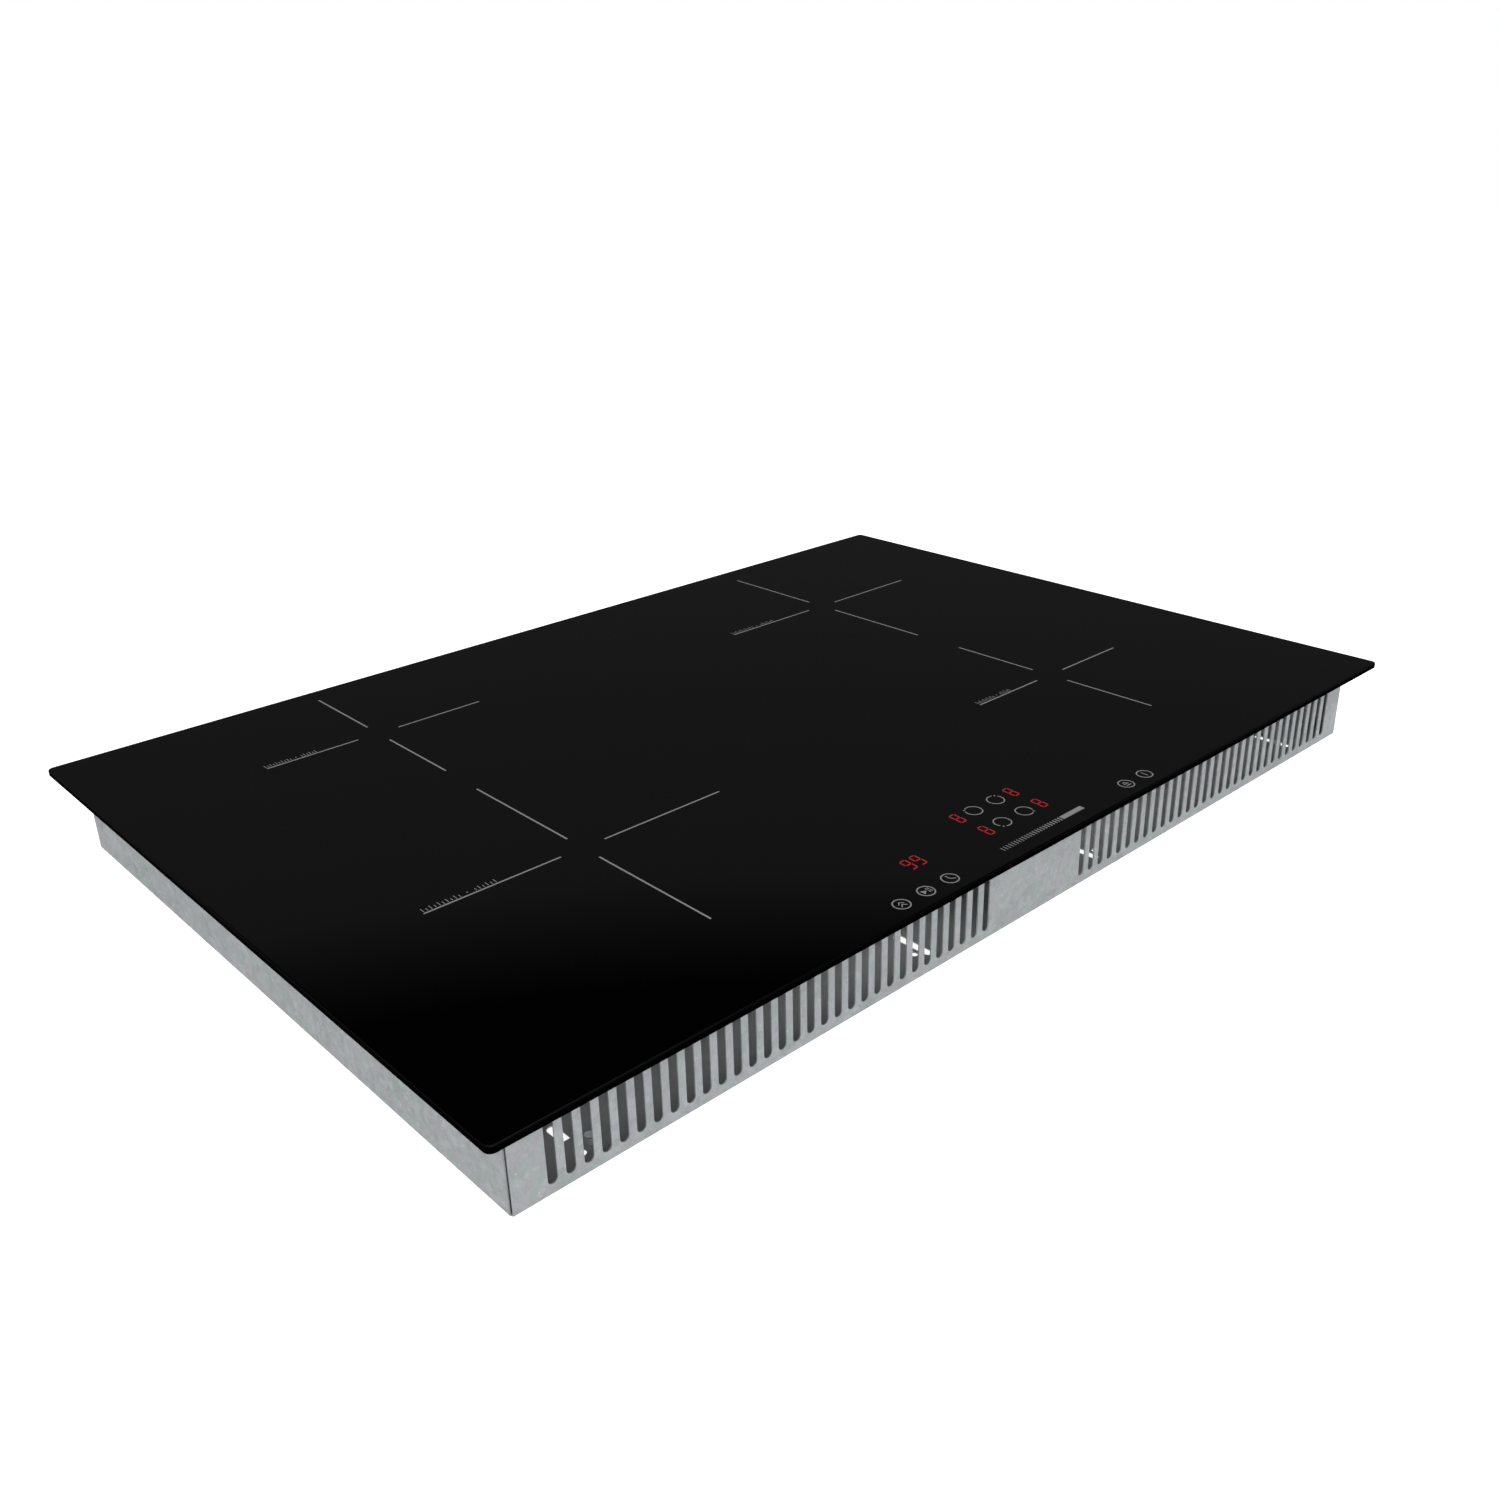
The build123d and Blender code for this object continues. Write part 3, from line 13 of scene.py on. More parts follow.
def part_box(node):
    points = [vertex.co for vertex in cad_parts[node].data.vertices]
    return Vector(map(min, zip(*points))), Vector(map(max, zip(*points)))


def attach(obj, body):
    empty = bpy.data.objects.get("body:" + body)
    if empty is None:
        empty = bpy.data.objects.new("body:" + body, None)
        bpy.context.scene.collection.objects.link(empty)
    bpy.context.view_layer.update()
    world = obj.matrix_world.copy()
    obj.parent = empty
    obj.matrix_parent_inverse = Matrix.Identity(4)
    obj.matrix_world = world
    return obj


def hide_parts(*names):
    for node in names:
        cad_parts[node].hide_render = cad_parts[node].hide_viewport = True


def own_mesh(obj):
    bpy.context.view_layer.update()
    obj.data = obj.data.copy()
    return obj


MM = 0.001
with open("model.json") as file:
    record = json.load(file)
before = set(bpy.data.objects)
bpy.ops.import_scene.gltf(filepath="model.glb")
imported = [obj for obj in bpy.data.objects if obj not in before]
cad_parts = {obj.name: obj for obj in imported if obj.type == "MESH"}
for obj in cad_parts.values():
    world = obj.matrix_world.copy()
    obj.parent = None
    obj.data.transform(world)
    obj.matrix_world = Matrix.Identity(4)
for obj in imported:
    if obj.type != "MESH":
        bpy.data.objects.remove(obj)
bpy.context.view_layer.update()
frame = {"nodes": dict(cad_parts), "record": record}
nodes = frame["nodes"]
glass_top_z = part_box("glass_top")[1].z


# ------------------------------------------------------------------ node helpers
class Look:
    """One procedural material. Texture positions are the object's own, in millimetres."""

    def __init__(self, name, colour, roughness, metallic=0.0, specular=0.5, **sockets):
        self.material = bpy.data.materials.new(name)
        self.material.use_nodes = True
        self.tree = self.material.node_tree
        self.shader = self.tree.nodes["Principled BSDF"]
        self.shader.inputs["Base Color"].default_value = (*colour, 1)
        self.shader.inputs["Roughness"].default_value = roughness
        self.shader.inputs["Metallic"].default_value = metallic
        self.shader.inputs["Specular IOR Level"].default_value = specular
        for socket, value in sockets.items():
            self.shader.inputs[socket.replace("_", " ")].default_value = value
        coordinates = self.tree.nodes.new("ShaderNodeTexCoord")
        self.position = self.scaled(coordinates.outputs["Object"], (1000, 1000, 1000))
        self.normal = None

    def node(self, kind, **inputs):
        made = self.tree.nodes.new("ShaderNode" + kind)
        for name, value in inputs.items():
            socket = made.inputs[name.replace("_", " ")]
            if isinstance(value, bpy.types.NodeSocket):
                self.tree.links.new(value, socket)
            else:
                socket.default_value = value
        return made

    def scaled(self, vector, scale):
        made = self.tree.nodes.new("ShaderNodeVectorMath")
        made.operation = "MULTIPLY"
        self.tree.links.new(vector, made.inputs[0])
        made.inputs[1].default_value = scale
        return made.outputs[0]

    def math(self, operation, a, b=0.0, clamp=False):
        made = self.tree.nodes.new("ShaderNodeMath")
        made.operation = operation
        made.use_clamp = clamp
        for socket, value in ((made.inputs[0], a), (made.inputs[1], b)):
            if isinstance(value, bpy.types.NodeSocket):
                self.tree.links.new(value, socket)
            else:
                socket.default_value = value
        return made.outputs[0]

    def noise(self, size, detail=3.0, stretch=(1, 1, 1), roughness=0.5):
        """Smooth noise from 0 to 1 whose blotches are about size millimetres across."""
        return self.node(
            "TexNoise",
            Vector=self.scaled(self.position, stretch),
            Scale=1.0 / size,
            Detail=detail,
            Roughness=roughness,
        ).outputs["Fac"]

    def cells(self, size, feature="F1", output="Color", stretch=(1, 1, 1)):
        """Cells about size millimetres across: each one's random colour, or distance from its middle."""
        made = self.node("TexVoronoi", Vector=self.scaled(self.position, stretch), Scale=1.0 / size)
        made.feature = feature
        return made.outputs[output]

    def spread(self, value, low, high, out_low=0.0, out_high=1.0):
        ends = {"From_Min": low, "From_Max": high, "To_Min": out_low, "To_Max": out_high}
        return self.node("MapRange", Value=value, **ends).outputs["Result"]

    def mix(self, share, a, b):
        """Colour a where share is 0 and b where it is 1."""
        made = self.tree.nodes.new("ShaderNodeMix")
        made.data_type = "RGBA"
        for socket, value in ((made.inputs[0], share), (made.inputs[6], a), (made.inputs[7], b)):
            if isinstance(value, bpy.types.NodeSocket):
                self.tree.links.new(value, socket)
            elif isinstance(value, tuple):
                socket.default_value = (*value, 1)
            else:
                socket.default_value = value
        return made.outputs[2]

    def grey(self, colour):
        return self.node("SeparateColor", Color=colour).outputs[0]

    def axes(self):
        made = self.node("SeparateXYZ", Vector=self.position)
        return made.outputs[0], made.outputs[1], made.outputs[2]

    def set_colour(self, value):
        self.tree.links.new(value, self.shader.inputs["Base Color"])

    def set_roughness(self, value):
        self.tree.links.new(value, self.shader.inputs["Roughness"])

    def bump(self, height, depth):
        """Relief whose full height is depth millimetres."""
        made = self.node("Bump", Height=height, Distance=depth * MM, Strength=1.0)
        if self.normal is not None:
            self.tree.links.new(self.normal, made.inputs["Normal"])
        self.normal = made.outputs["Normal"]
        self.tree.links.new(self.normal, self.shader.inputs["Normal"])


def tint(colour, factor):
    return tuple(min(1.0, c * factor) for c in colour)


# ------------------------------------------------------------------ materials
def black_glass():
    """Black glass-ceramic: polished, with a trace of wiping haze in the gloss."""
    look = Look("black_glass", (0.0005, 0.0005, 0.0006), 0.02)
    haze = look.noise(90, detail=4, stretch=(1, 0.35, 1))
    look.set_roughness(look.spread(haze, 0.35, 0.75, 0.012, 0.035))
    return look.material


def galvanised_steel():
    """Zinc-coated sheet: soft spangle, cloudy patches and a few bright specks; painted light and painted
    shade inside the tray.
    """
    base = (0.447, 0.471, 0.480)
    look = Look("galvanised_steel", base, 0.5, metallic=0.0, specular=0.25)
    spangle = look.grey(look.cells(3.2))
    cloud = look.noise(20, detail=5, roughness=0.65)
    grain = look.noise(1.3, detail=3, roughness=0.65)
    tone = look.math("ADD", look.spread(spangle, 0, 1, 0.0, 0.32), look.spread(cloud, 0.3, 0.7, 0.0, 0.34))
    tone = look.math("ADD", tone, look.spread(grain, 0.25, 0.75, 0.0, 0.38))
    colour = look.mix(tone, tint(base, 0.71), tint(base, 1.29))
    # Zinc crystals lean a little towards green or violet from patch to patch.
    hue = look.noise(9, detail=3)
    colour = look.mix(look.spread(hue, 0.5, 0.62, 0, 0.5), colour, (0.47, 0.45, 0.5))
    colour = look.mix(look.spread(hue, 0.38, 0.5, 0.5, 0), colour, (0.41, 0.475, 0.462))
    far = look.cells(3.6, output="Distance")
    lucky = look.grey(look.cells(3.6))
    speck = look.math("MULTIPLY", look.spread(far, 0.09, 0.17, 1, 0), look.spread(lucky, 0.55, 0.65, 0, 1))
    colour = look.mix(look.math("MULTIPLY", speck, 0.45), colour, (0.82, 0.83, 0.84))
    # The inside is painted brighter than the sheet as painted light, and darker just behind the air slots as
    # painted shade, to set how light they look.
    low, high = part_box("bottom_tray")
    x, y, z = look.axes()
    wall = 0.4
    inside = look.math("GREATER_THAN", z, wall)
    for value, first, last in ((x, low.x, high.x), (y, low.y, high.y)):
        inside = look.math("MULTIPLY", inside, look.math("GREATER_THAN", value, first / MM + wall))
        inside = look.math("MULTIPLY", inside, look.math("LESS_THAN", value, last / MM - wall))
    slot_shade_from, slot_shade_to = low.y / MM + 6, low.y / MM + 32
    depth = look.spread(y, slot_shade_from, slot_shade_to)
    # The middle of the front wall has no slots, and gets no painted shade behind it.
    plain_half, slots_from = 30, 70
    between_groups = look.spread(look.math("ABSOLUTE", x), plain_half, slots_from, 1, 0)
    depth = look.math("MAXIMUM", depth, between_groups)
    # Painted shade just behind the slots, painted light farther in.
    painted_slot_shade = look.mix(tone, (0.36, 0.38, 0.39), (0.46, 0.48, 0.49))
    painted_light_level = look.mix(tone, (0.84, 0.87, 0.88), (0.93, 0.95, 0.96))
    painted_light_level = look.mix(depth, painted_slot_shade, painted_light_level)
    colour = look.mix(inside, colour, painted_light_level)
    look.set_colour(colour)
    look.set_roughness(look.spread(spangle, 0, 1, 0.38, 0.6))
    look.bump(look.math("ADD", spangle, grain), 0.012)
    return look.material


def bright_metal(name, base, roughness, stretch, metallic=0.75):
    """Drawn, rolled or extruded metal with grain along one direction."""
    look = Look(name, base, roughness, metallic=metallic)
    lines = look.noise(0.5, detail=3, stretch=stretch)
    cloud = look.noise(14, detail=3)
    tone = look.math("ADD", look.spread(lines, 0.3, 0.7, 0, 0.6), look.spread(cloud, 0.3, 0.7, 0, 0.4))
    look.set_colour(look.mix(tone, tint(base, 0.86), tint(base, 1.1)))
    look.set_roughness(look.spread(lines, 0.3, 0.7, roughness * 0.8, roughness * 1.3))
    look.bump(lines, 0.01)
    return look.material


def plastic(name, base, roughness, grain=0.35, depth=0.012, fibres=0.0):
    """Moulded plastic with a fine spark-eroded skin, and short fibres when glass-filled."""
    look = Look(name, base, roughness, specular=0.45)
    skin = look.noise(grain, detail=2)
    cloud = look.noise(30, detail=2)
    colour = look.mix(look.spread(cloud, 0.3, 0.7), tint(base, 0.9), tint(base, 1.1))
    if fibres:
        strand = look.noise(0.7, detail=2, stretch=(0.25, 1, 1))
        colour = look.mix(look.spread(strand, 0.56, 0.66, 0, fibres), colour, tint(base, 1.8))
    look.set_colour(colour)
    look.set_roughness(look.spread(skin, 0.3, 0.7, roughness * 0.85, min(1, roughness * 1.15)))
    look.bump(skin, depth)
    return look.material


def foam():
    look = Look("foam", (0.018, 0.018, 0.019), 0.95, specular=0.2)
    pores = look.cells(0.6, output="Distance")
    # The pore hollows are painted darker as painted shade.
    look.set_colour(look.mix(look.spread(pores, 0.1, 0.5), (0.006, 0.006, 0.006), (0.03, 0.03, 0.032)))
    look.bump(pores, 0.12)
    return look.material


def silicone(name, base):
    look = Look(name, base, 0.45, specular=0.4)
    wave = look.noise(6, detail=2)
    fine = look.noise(0.8, detail=2)
    look.set_colour(look.mix(look.spread(wave, 0.3, 0.7), tint(base, 0.85), tint(base, 1.15)))
    look.set_roughness(look.spread(fine, 0.3, 0.7, 0.38, 0.55))
    look.bump(wave, 0.15)
    look.bump(fine, 0.01)
    return look.material


def circuit_board():
    """Green solder mask over copper tracks, with tinned pads."""
    look = Look("circuit_board", (0.02, 0.12, 0.045), 0.35)
    track = look.cells(4.0, feature="DISTANCE_TO_EDGE", output="Distance", stretch=(1, 0.55, 1))
    wide = look.cells(17.0, feature="DISTANCE_TO_EDGE", output="Distance")
    copper = look.math("MAXIMUM", look.spread(track, 0.06, 0.09, 1, 0), look.spread(wide, 0.12, 0.14, 1, 0))
    colour = look.mix(look.math("MULTIPLY", copper, 0.75), (0.012, 0.085, 0.03), (0.035, 0.19, 0.07))
    pad = look.spread(look.cells(5.2, output="Distance"), 0.1, 0.13, 1, 0)
    look.set_colour(look.mix(pad, colour, (0.62, 0.6, 0.55)))
    look.set_roughness(look.spread(pad, 0, 1, 0.36, 0.25))
    look.bump(look.math("MAXIMUM", copper, pad), 0.04)
    return look.material


def litz():
    """Varnished copper strand: fine slanting filaments."""
    look = Look("copper_litz", (0.62, 0.27, 0.11), 0.34, metallic=0.8)
    x, y, z = look.axes()
    slant = look.math("ADD", look.math("ADD", x, y), look.math("MULTIPLY", z, 2.0))
    strand = look.math("SINE", look.math("MULTIPLY", slant, 2 * pi / 0.9))
    cloud = look.noise(9, detail=2)
    tone = look.math("ADD", look.spread(strand, -1, 1, 0, 0.65), look.spread(cloud, 0.3, 0.7, 0, 0.35))
    # The grooves between the filaments are painted darker as painted shade.
    look.set_colour(look.mix(tone, (0.34, 0.12, 0.04), (0.82, 0.4, 0.18)))
    look.set_roughness(look.spread(strand, -1, 1, 0.45, 0.28))
    look.bump(strand, 0.12)
    return look.material


def ferrite():
    look = Look("ferrite", (0.055, 0.055, 0.06), 0.6, specular=0.4)
    speck = look.noise(0.5, detail=3)
    patch = look.noise(8, detail=3)
    tone = look.math("ADD", look.spread(speck, 0.35, 0.65, 0, 0.6), look.spread(patch, 0.3, 0.7, 0, 0.4))
    look.set_colour(look.mix(tone, (0.03, 0.03, 0.033), (0.09, 0.09, 0.095)))
    look.set_roughness(look.spread(speck, 0.3, 0.7, 0.45, 0.75))
    look.bump(speck, 0.03)
    return look.material


def mica():
    """Pressed mica-and-fibre sheet: overlapping pale flakes."""
    look = Look("mica", (0.72, 0.68, 0.58), 0.6)
    flake = look.grey(look.cells(2.6, stretch=(1, 0.6, 1)))
    fibre = look.noise(0.7, detail=4, stretch=(0.2, 1, 1))
    tone = look.math("ADD", look.spread(flake, 0, 1, 0, 0.6), look.spread(fibre, 0.3, 0.7, 0, 0.4))
    look.set_colour(look.mix(tone, (0.58, 0.53, 0.42), (0.82, 0.79, 0.71)))
    look.set_roughness(look.spread(flake, 0, 1, 0.4, 0.75))
    look.bump(tone, 0.03)
    return look.material


def display():
    """Dark display housings with lit red segments on their upper faces."""
    look = Look("display", (0.02, 0.02, 0.021), 0.3, Emission_Color=(0.9, 0.02, 0.03, 1))
    height = look.axes()[2]
    housing_top, segment_face = 52.21, 52.25
    lit = look.spread(height, housing_top, segment_face)
    skin = look.noise(0.5, detail=2)
    dark = look.mix(look.spread(skin, 0.3, 0.7), (0.012, 0.012, 0.013), (0.03, 0.03, 0.032))
    look.set_colour(look.mix(lit, dark, (0.6, 0.02, 0.03)))
    look.tree.links.new(lit, look.shader.inputs["Emission Strength"])
    look.bump(skin, 0.01)
    return look.material


def foil():
    """Dark film with fine printed conductors."""
    look = Look("foil", (0.03, 0.03, 0.032), 0.28)
    x, y, _ = look.axes()
    line = look.math("SINE", look.math("MULTIPLY", look.math("ADD", x, look.math("MULTIPLY", y, 0.5)), 2.6))
    conductor = look.spread(line, 0.6, 0.75)
    cloud = look.noise(12, detail=2)
    film = look.mix(look.spread(cloud, 0.3, 0.7), (0.022, 0.022, 0.024), (0.038, 0.038, 0.04))
    look.set_colour(look.mix(look.math("MULTIPLY", conductor, 0.7), film, (0.09, 0.088, 0.085)))
    look.bump(conductor, 0.02)
    return look.material


def ribbon():
    """Grey flat cable with one moulded ridge for each conductor."""
    look = Look("ribbon", (0.4, 0.4, 0.41), 0.45)
    ridge = look.math("SINE", look.math("MULTIPLY", look.axes()[0], 2 * pi / 1.27))
    # The grooves between the ridges are painted darker as painted shade.
    look.set_colour(look.mix(look.spread(ridge, -1, 0.2), (0.25, 0.25, 0.26), (0.48, 0.48, 0.49)))
    look.set_roughness(look.spread(ridge, -1, 1, 0.6, 0.4))
    look.bump(ridge, 0.2)
    return look.material


def choke():
    """Enamelled copper turns on a dark coated core: what lies inside the core's outline is core."""
    look = Look("choke", (0.55, 0.25, 0.1), 0.3, metallic=0.0)
    low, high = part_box("filter_choke")
    centre = (low + high) / 2 / MM
    wire, core_half_height, bore_radius = 1.85, 6.1, 8.9
    x, y, z = look.axes()
    dx = look.math("SUBTRACT", x, centre.x)
    dy = look.math("SUBTRACT", y, centre.y)
    radius = look.math("SQRT", look.math("ADD", look.math("POWER", dx, 2.0), look.math("POWER", dy, 2.0)))
    reach = (high.x - low.x) / 2 / MM - wire
    outside = look.math("GREATER_THAN", radius, reach)
    dz = look.math("ABSOLUTE", look.math("SUBTRACT", z, centre.z))
    above = look.math("GREATER_THAN", dz, core_half_height)
    inside = look.math("LESS_THAN", radius, bore_radius)
    turn = look.math("MAXIMUM", look.math("MAXIMUM", outside, above), inside)
    cloud = look.noise(3, detail=2)
    copper = look.mix(look.spread(cloud, 0.3, 0.7), (0.45, 0.17, 0.05), (0.7, 0.32, 0.12))
    core = look.mix(look.spread(cloud, 0.3, 0.7), (0.02, 0.05, 0.03), (0.04, 0.08, 0.05))
    look.set_colour(look.mix(turn, core, copper))
    look.set_roughness(look.spread(cloud, 0.3, 0.7, 0.28, 0.42))
    look.bump(cloud, 0.05)
    return look.material


def capacitor():
    """Moulded film boxes and sleeved round cans."""
    look = Look("capacitor", (0.5, 0.36, 0.06), 0.35)
    cloud = look.noise(5, detail=2)
    skin = look.noise(0.4, detail=2)
    look.set_colour(look.mix(look.spread(cloud, 0.3, 0.7), (0.4, 0.26, 0.035), (0.56, 0.38, 0.06)))
    look.set_roughness(look.spread(skin, 0.3, 0.7, 0.28, 0.42))
    look.bump(skin, 0.01)
    return look.material


def lead_insulation():
    """Three insulated conductors, told apart by place: brown, blue, and green with a yellow stripe."""
    look = Look("lead_insulation", (0.1, 0.04, 0.02), 0.35)
    x, y, z = look.axes()
    # Where the first lead runs, and how far apart the leads are, along each leg of their route.
    first_y, pitch_y, first_x, pitch_x = 204.0, 7.0, 34.0, 12.0
    along_x = look.math("DIVIDE", look.math("SUBTRACT", y, first_y), pitch_y)
    along_y = look.math("DIVIDE", look.math("SUBTRACT", first_x, x), pitch_x)
    which = look.math("MAXIMUM", along_x, along_y)
    brown, blue = (0.09, 0.035, 0.015), (0.01, 0.05, 0.3)
    green, yellow = (0.03, 0.25, 0.04), (0.7, 0.55, 0.03)
    stripe_low, stripe_high = 18.4, 18.6
    stripe = look.spread(z, stripe_low, stripe_high)
    earth = look.mix(stripe, green, yellow)
    colour = look.mix(look.math("GREATER_THAN", which, 0.33), brown, blue)
    colour = look.mix(look.math("GREATER_THAN", which, 1.33), colour, earth)
    skin = look.noise(1.5, detail=2)
    look.set_colour(look.mix(look.spread(skin, 0.3, 0.7, 0, 0.2), colour, (0.01, 0.01, 0.01)))
    look.set_roughness(look.spread(skin, 0.3, 0.7, 0.3, 0.45))
    look.bump(skin, 0.02)
    return look.material


def printed_ink():
    """Grey ceramic ink fired on the glass."""
    look = Look("printed_ink", (0.22, 0.22, 0.22), 0.55, specular=0.3)
    grain = look.noise(0.35, detail=2)
    look.set_colour(look.mix(look.spread(grain, 0.3, 0.7), (0.19, 0.19, 0.188), (0.255, 0.255, 0.253)))
    look.set_roughness(look.spread(grain, 0.3, 0.7, 0.5, 0.65))
    return look.material


def lit_segment():
    """Red display light seen through the dark glass, a little uneven."""
    look = Look("lit_segment", (0.02, 0.001, 0.001), 0.3, specular=0.2, Emission_Color=(0.44, 0.02, 0.03, 1))
    glow = look.noise(1.6, detail=2)
    look.tree.links.new(look.spread(glow, 0.3, 0.7, 0.75, 1.05), look.shader.inputs["Emission Strength"])
    return look.material


materials = {
    "black_glass": black_glass(),
    "foam": foam(),
    "silicone": silicone("silicone", (0.035, 0.035, 0.038)),
    "galvanised_steel": galvanised_steel(),
    "zinc_steel": bright_metal("zinc_steel", (0.6, 0.61, 0.63), 0.32, (1, 1, 1)),
    "spring_steel": bright_metal("spring_steel", (0.45, 0.45, 0.47), 0.3, (1, 1, 0.3)),
    "aluminium_sheet": bright_metal("aluminium_sheet", (0.72, 0.73, 0.74), 0.36, (0.04, 1, 1)),
    "aluminium_extrusion": bright_metal("aluminium_extrusion", (0.66, 0.67, 0.68), 0.38, (1, 0.04, 1)),
    "circuit_board": circuit_board(),
    "light_plastic": plastic("light_plastic", (0.66, 0.66, 0.63), 0.5),
    "black_plastic": plastic("black_plastic", (0.02, 0.02, 0.0215), 0.45, grain=0.5, depth=0.02),
    "fan_plastic": plastic("fan_plastic", (0.016, 0.016, 0.0175), 0.38, fibres=0.15),
    "former_plastic": plastic("former_plastic", (0.1, 0.085, 0.07), 0.55, fibres=0.5),
    "terminal_plastic": plastic("terminal_plastic", (0.7, 0.69, 0.63), 0.4),
    "gland_plastic": plastic("gland_plastic", (0.045, 0.046, 0.05), 0.42, grain=0.4, depth=0.015),
    "black_resin": plastic("black_resin", (0.018, 0.018, 0.018), 0.5, fibres=0.1),
    "display": display(),
    "foil": foil(),
    "ribbon": ribbon(),
    "lead_insulation": lead_insulation(),
    "copper_litz": litz(),
    "ferrite": ferrite(),
    "mica": mica(),
    "sensor_silicone": silicone("sensor_silicone", (0.62, 0.62, 0.6)),
    "choke": choke(),
    "capacitor": capacitor(),
}
slot_of = {part["node"]: part["material_slot"] for part in frame["record"]["subparts"]}
for name, node in nodes.items():
    node.data.materials.clear()
    node.data.materials.append(materials[slot_of[name]])


# ------------------------------------------------------------------ coil springs
# Each coil's springs are drawn as a copy of their mesh, fixed to the housing, and the imported part is
# hidden. Their lower ends rest on the shield plate.
for site in ("rear_left", "front_left", "rear_right", "front_right"):
    name = f"coil_springs_{site}"
    low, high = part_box(name)
    springs = bpy.data.objects.new(f"springs_{site}", nodes[name].data.copy())
    bpy.context.scene.collection.objects.link(springs)
    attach(springs, "housing")
    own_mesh(springs)
    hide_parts(name)


# ------------------------------------------------------------------ thin printed shapes on the glass
class Print:
    """Flat marks in millimetres on the glass, turned into one thin closed mesh."""

    HEIGHT = 0.04

    def __init__(self, name, material):
        self.name = name
        self.material = material
        self.verts = []
        self.faces = []

    def _corner(self, x, y):
        z = glass_top_z / MM
        self.verts += [(x, y, z), (x, y, z + self.HEIGHT)]
        return len(self.verts) - 2

    def strip(self, left, right, closed=False):
        """A band between two rows of points."""
        a = [self._corner(*p) for p in left]
        b = [self._corner(*p) for p in right]
        count = len(a)
        steps = range(count if closed else count - 1)
        for i in steps:
            j = (i + 1) % count
            self.faces.append((a[i] + 1, b[i] + 1, b[j] + 1, a[j] + 1))
            self.faces.append((a[i], a[j], b[j], b[i]))
            self.faces.append((a[i], a[i] + 1, a[j] + 1, a[j]))
            self.faces.append((b[i], b[j], b[j] + 1, b[i] + 1))
        if not closed:
            self.faces.append((a[0], b[0], b[0] + 1, a[0] + 1))
            self.faces.append((a[-1], a[-1] + 1, b[-1] + 1, b[-1]))

    def line(self, points, width):
        """A stroke through the points with mitred corners."""
        points = [Vector(p) for p in points]
        left, right = [], []
        for i, point in enumerate(points):
            before = (point - points[i - 1]).normalized() if i > 0 else None
            after = (points[i + 1] - point).normalized() if i < len(points) - 1 else None
            along = ((before or after) + (after or before)).normalized()
            across = Vector((-along.y, along.x))
            reach = width / 2
            if before is not None and after is not None:
                reach /= max(0.3, across.dot(Vector((-before.y, before.x))))
            left.append(point + across * reach)
            right.append(point - across * reach)
        self.strip(left, right)

    def arc(self, centre, radius, width, start=0.0, sweep=360.0):
        closed = abs(sweep) >= 360.0
        count = max(8, int(abs(sweep) / 6))
        total = count if closed else count + 1
        angles = [radians(start + sweep * i / count) for i in range(total)]
        x, y = centre
        rows = []
        for r in (radius + width / 2, radius - width / 2):
            rows.append([(x + r * cos(a), y + r * sin(a)) for a in angles])
        self.strip(rows[0], rows[1], closed)

    def polygon(self, points):
        """A filled convex outline, given counter-clockwise."""
        corners = [self._corner(*p) for p in points]
        self.faces.append(tuple(c + 1 for c in corners))
        self.faces.append(tuple(reversed(corners)))
        for i, c in enumerate(corners):
            d = corners[(i + 1) % len(corners)]
            self.faces.append((c, d, d + 1, c + 1))

    def rectangle(self, x0, y0, x1, y1):
        self.polygon([(x0, y0), (x1, y0), (x1, y1), (x0, y1)])

    def dot(self, centre, radius):
        x, y = centre
        angles = [2 * pi * i / 20 for i in range(20)]
        self.polygon([(x + radius * cos(a), y + radius * sin(a)) for a in angles])

    def finish(self):
        mesh = bpy.data.meshes.new(self.name)
        mesh.from_pydata([(x * MM, y * MM, z * MM) for x, y, z in self.verts], [], self.faces)
        mesh.materials.append(self.material)
        mesh.validate()
        made = bpy.data.objects.new(self.name, mesh)
        bpy.context.scene.collection.objects.link(made)
        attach(made, "housing")
        return made


ink = printed_ink()
red = lit_segment()

# Cooking zones: centre, half lengths of the cross, span of the tick scale over the left arm.
ZONES = {
    "rear_left": ((-202.4, 155.0), (80.0, 86.0), (-282.2, -247.2)),
    "front_left": ((-203.3, -78.6), (103.0, 110.0), (-305.2, -260.2)),
    "rear_right": ((198.8, 128.6), (99.5, 106.0), (100.3, 143.8)),
    "front_right": ((198.8, -104.4), (80.0, 85.0), (119.8, 154.8)),
}
CROSS_GAP = 15.3
CROSS_LINE = 1.15
for zone, ((x, y), (reach_x, reach_y), (scale_low, scale_high)) in ZONES.items():
    marks = Print(f"print_zone_{zone}", ink)
    for sign in (-1, 1):
        marks.line([(x + sign * CROSS_GAP, y), (x + sign * reach_x, y)], CROSS_LINE)
        marks.line([(x, y + sign * CROSS_GAP), (x, y + sign * reach_y)], CROSS_LINE)
    # A tick scale in two groups with a dot between them.
    ticks = 19
    pitch = (scale_high - scale_low) / (ticks - 1)
    foot = y + CROSS_LINE / 2 + 0.9
    for i in range(ticks):
        at = scale_low + i * pitch
        if i == 11:
            marks.dot((at, foot + 1.9), 0.5)
        elif i not in (10, 12):
            marks.line([(at, foot), (at, foot + (4.0 if i % 2 == 0 else 2.7))], 0.42)
    marks.finish()

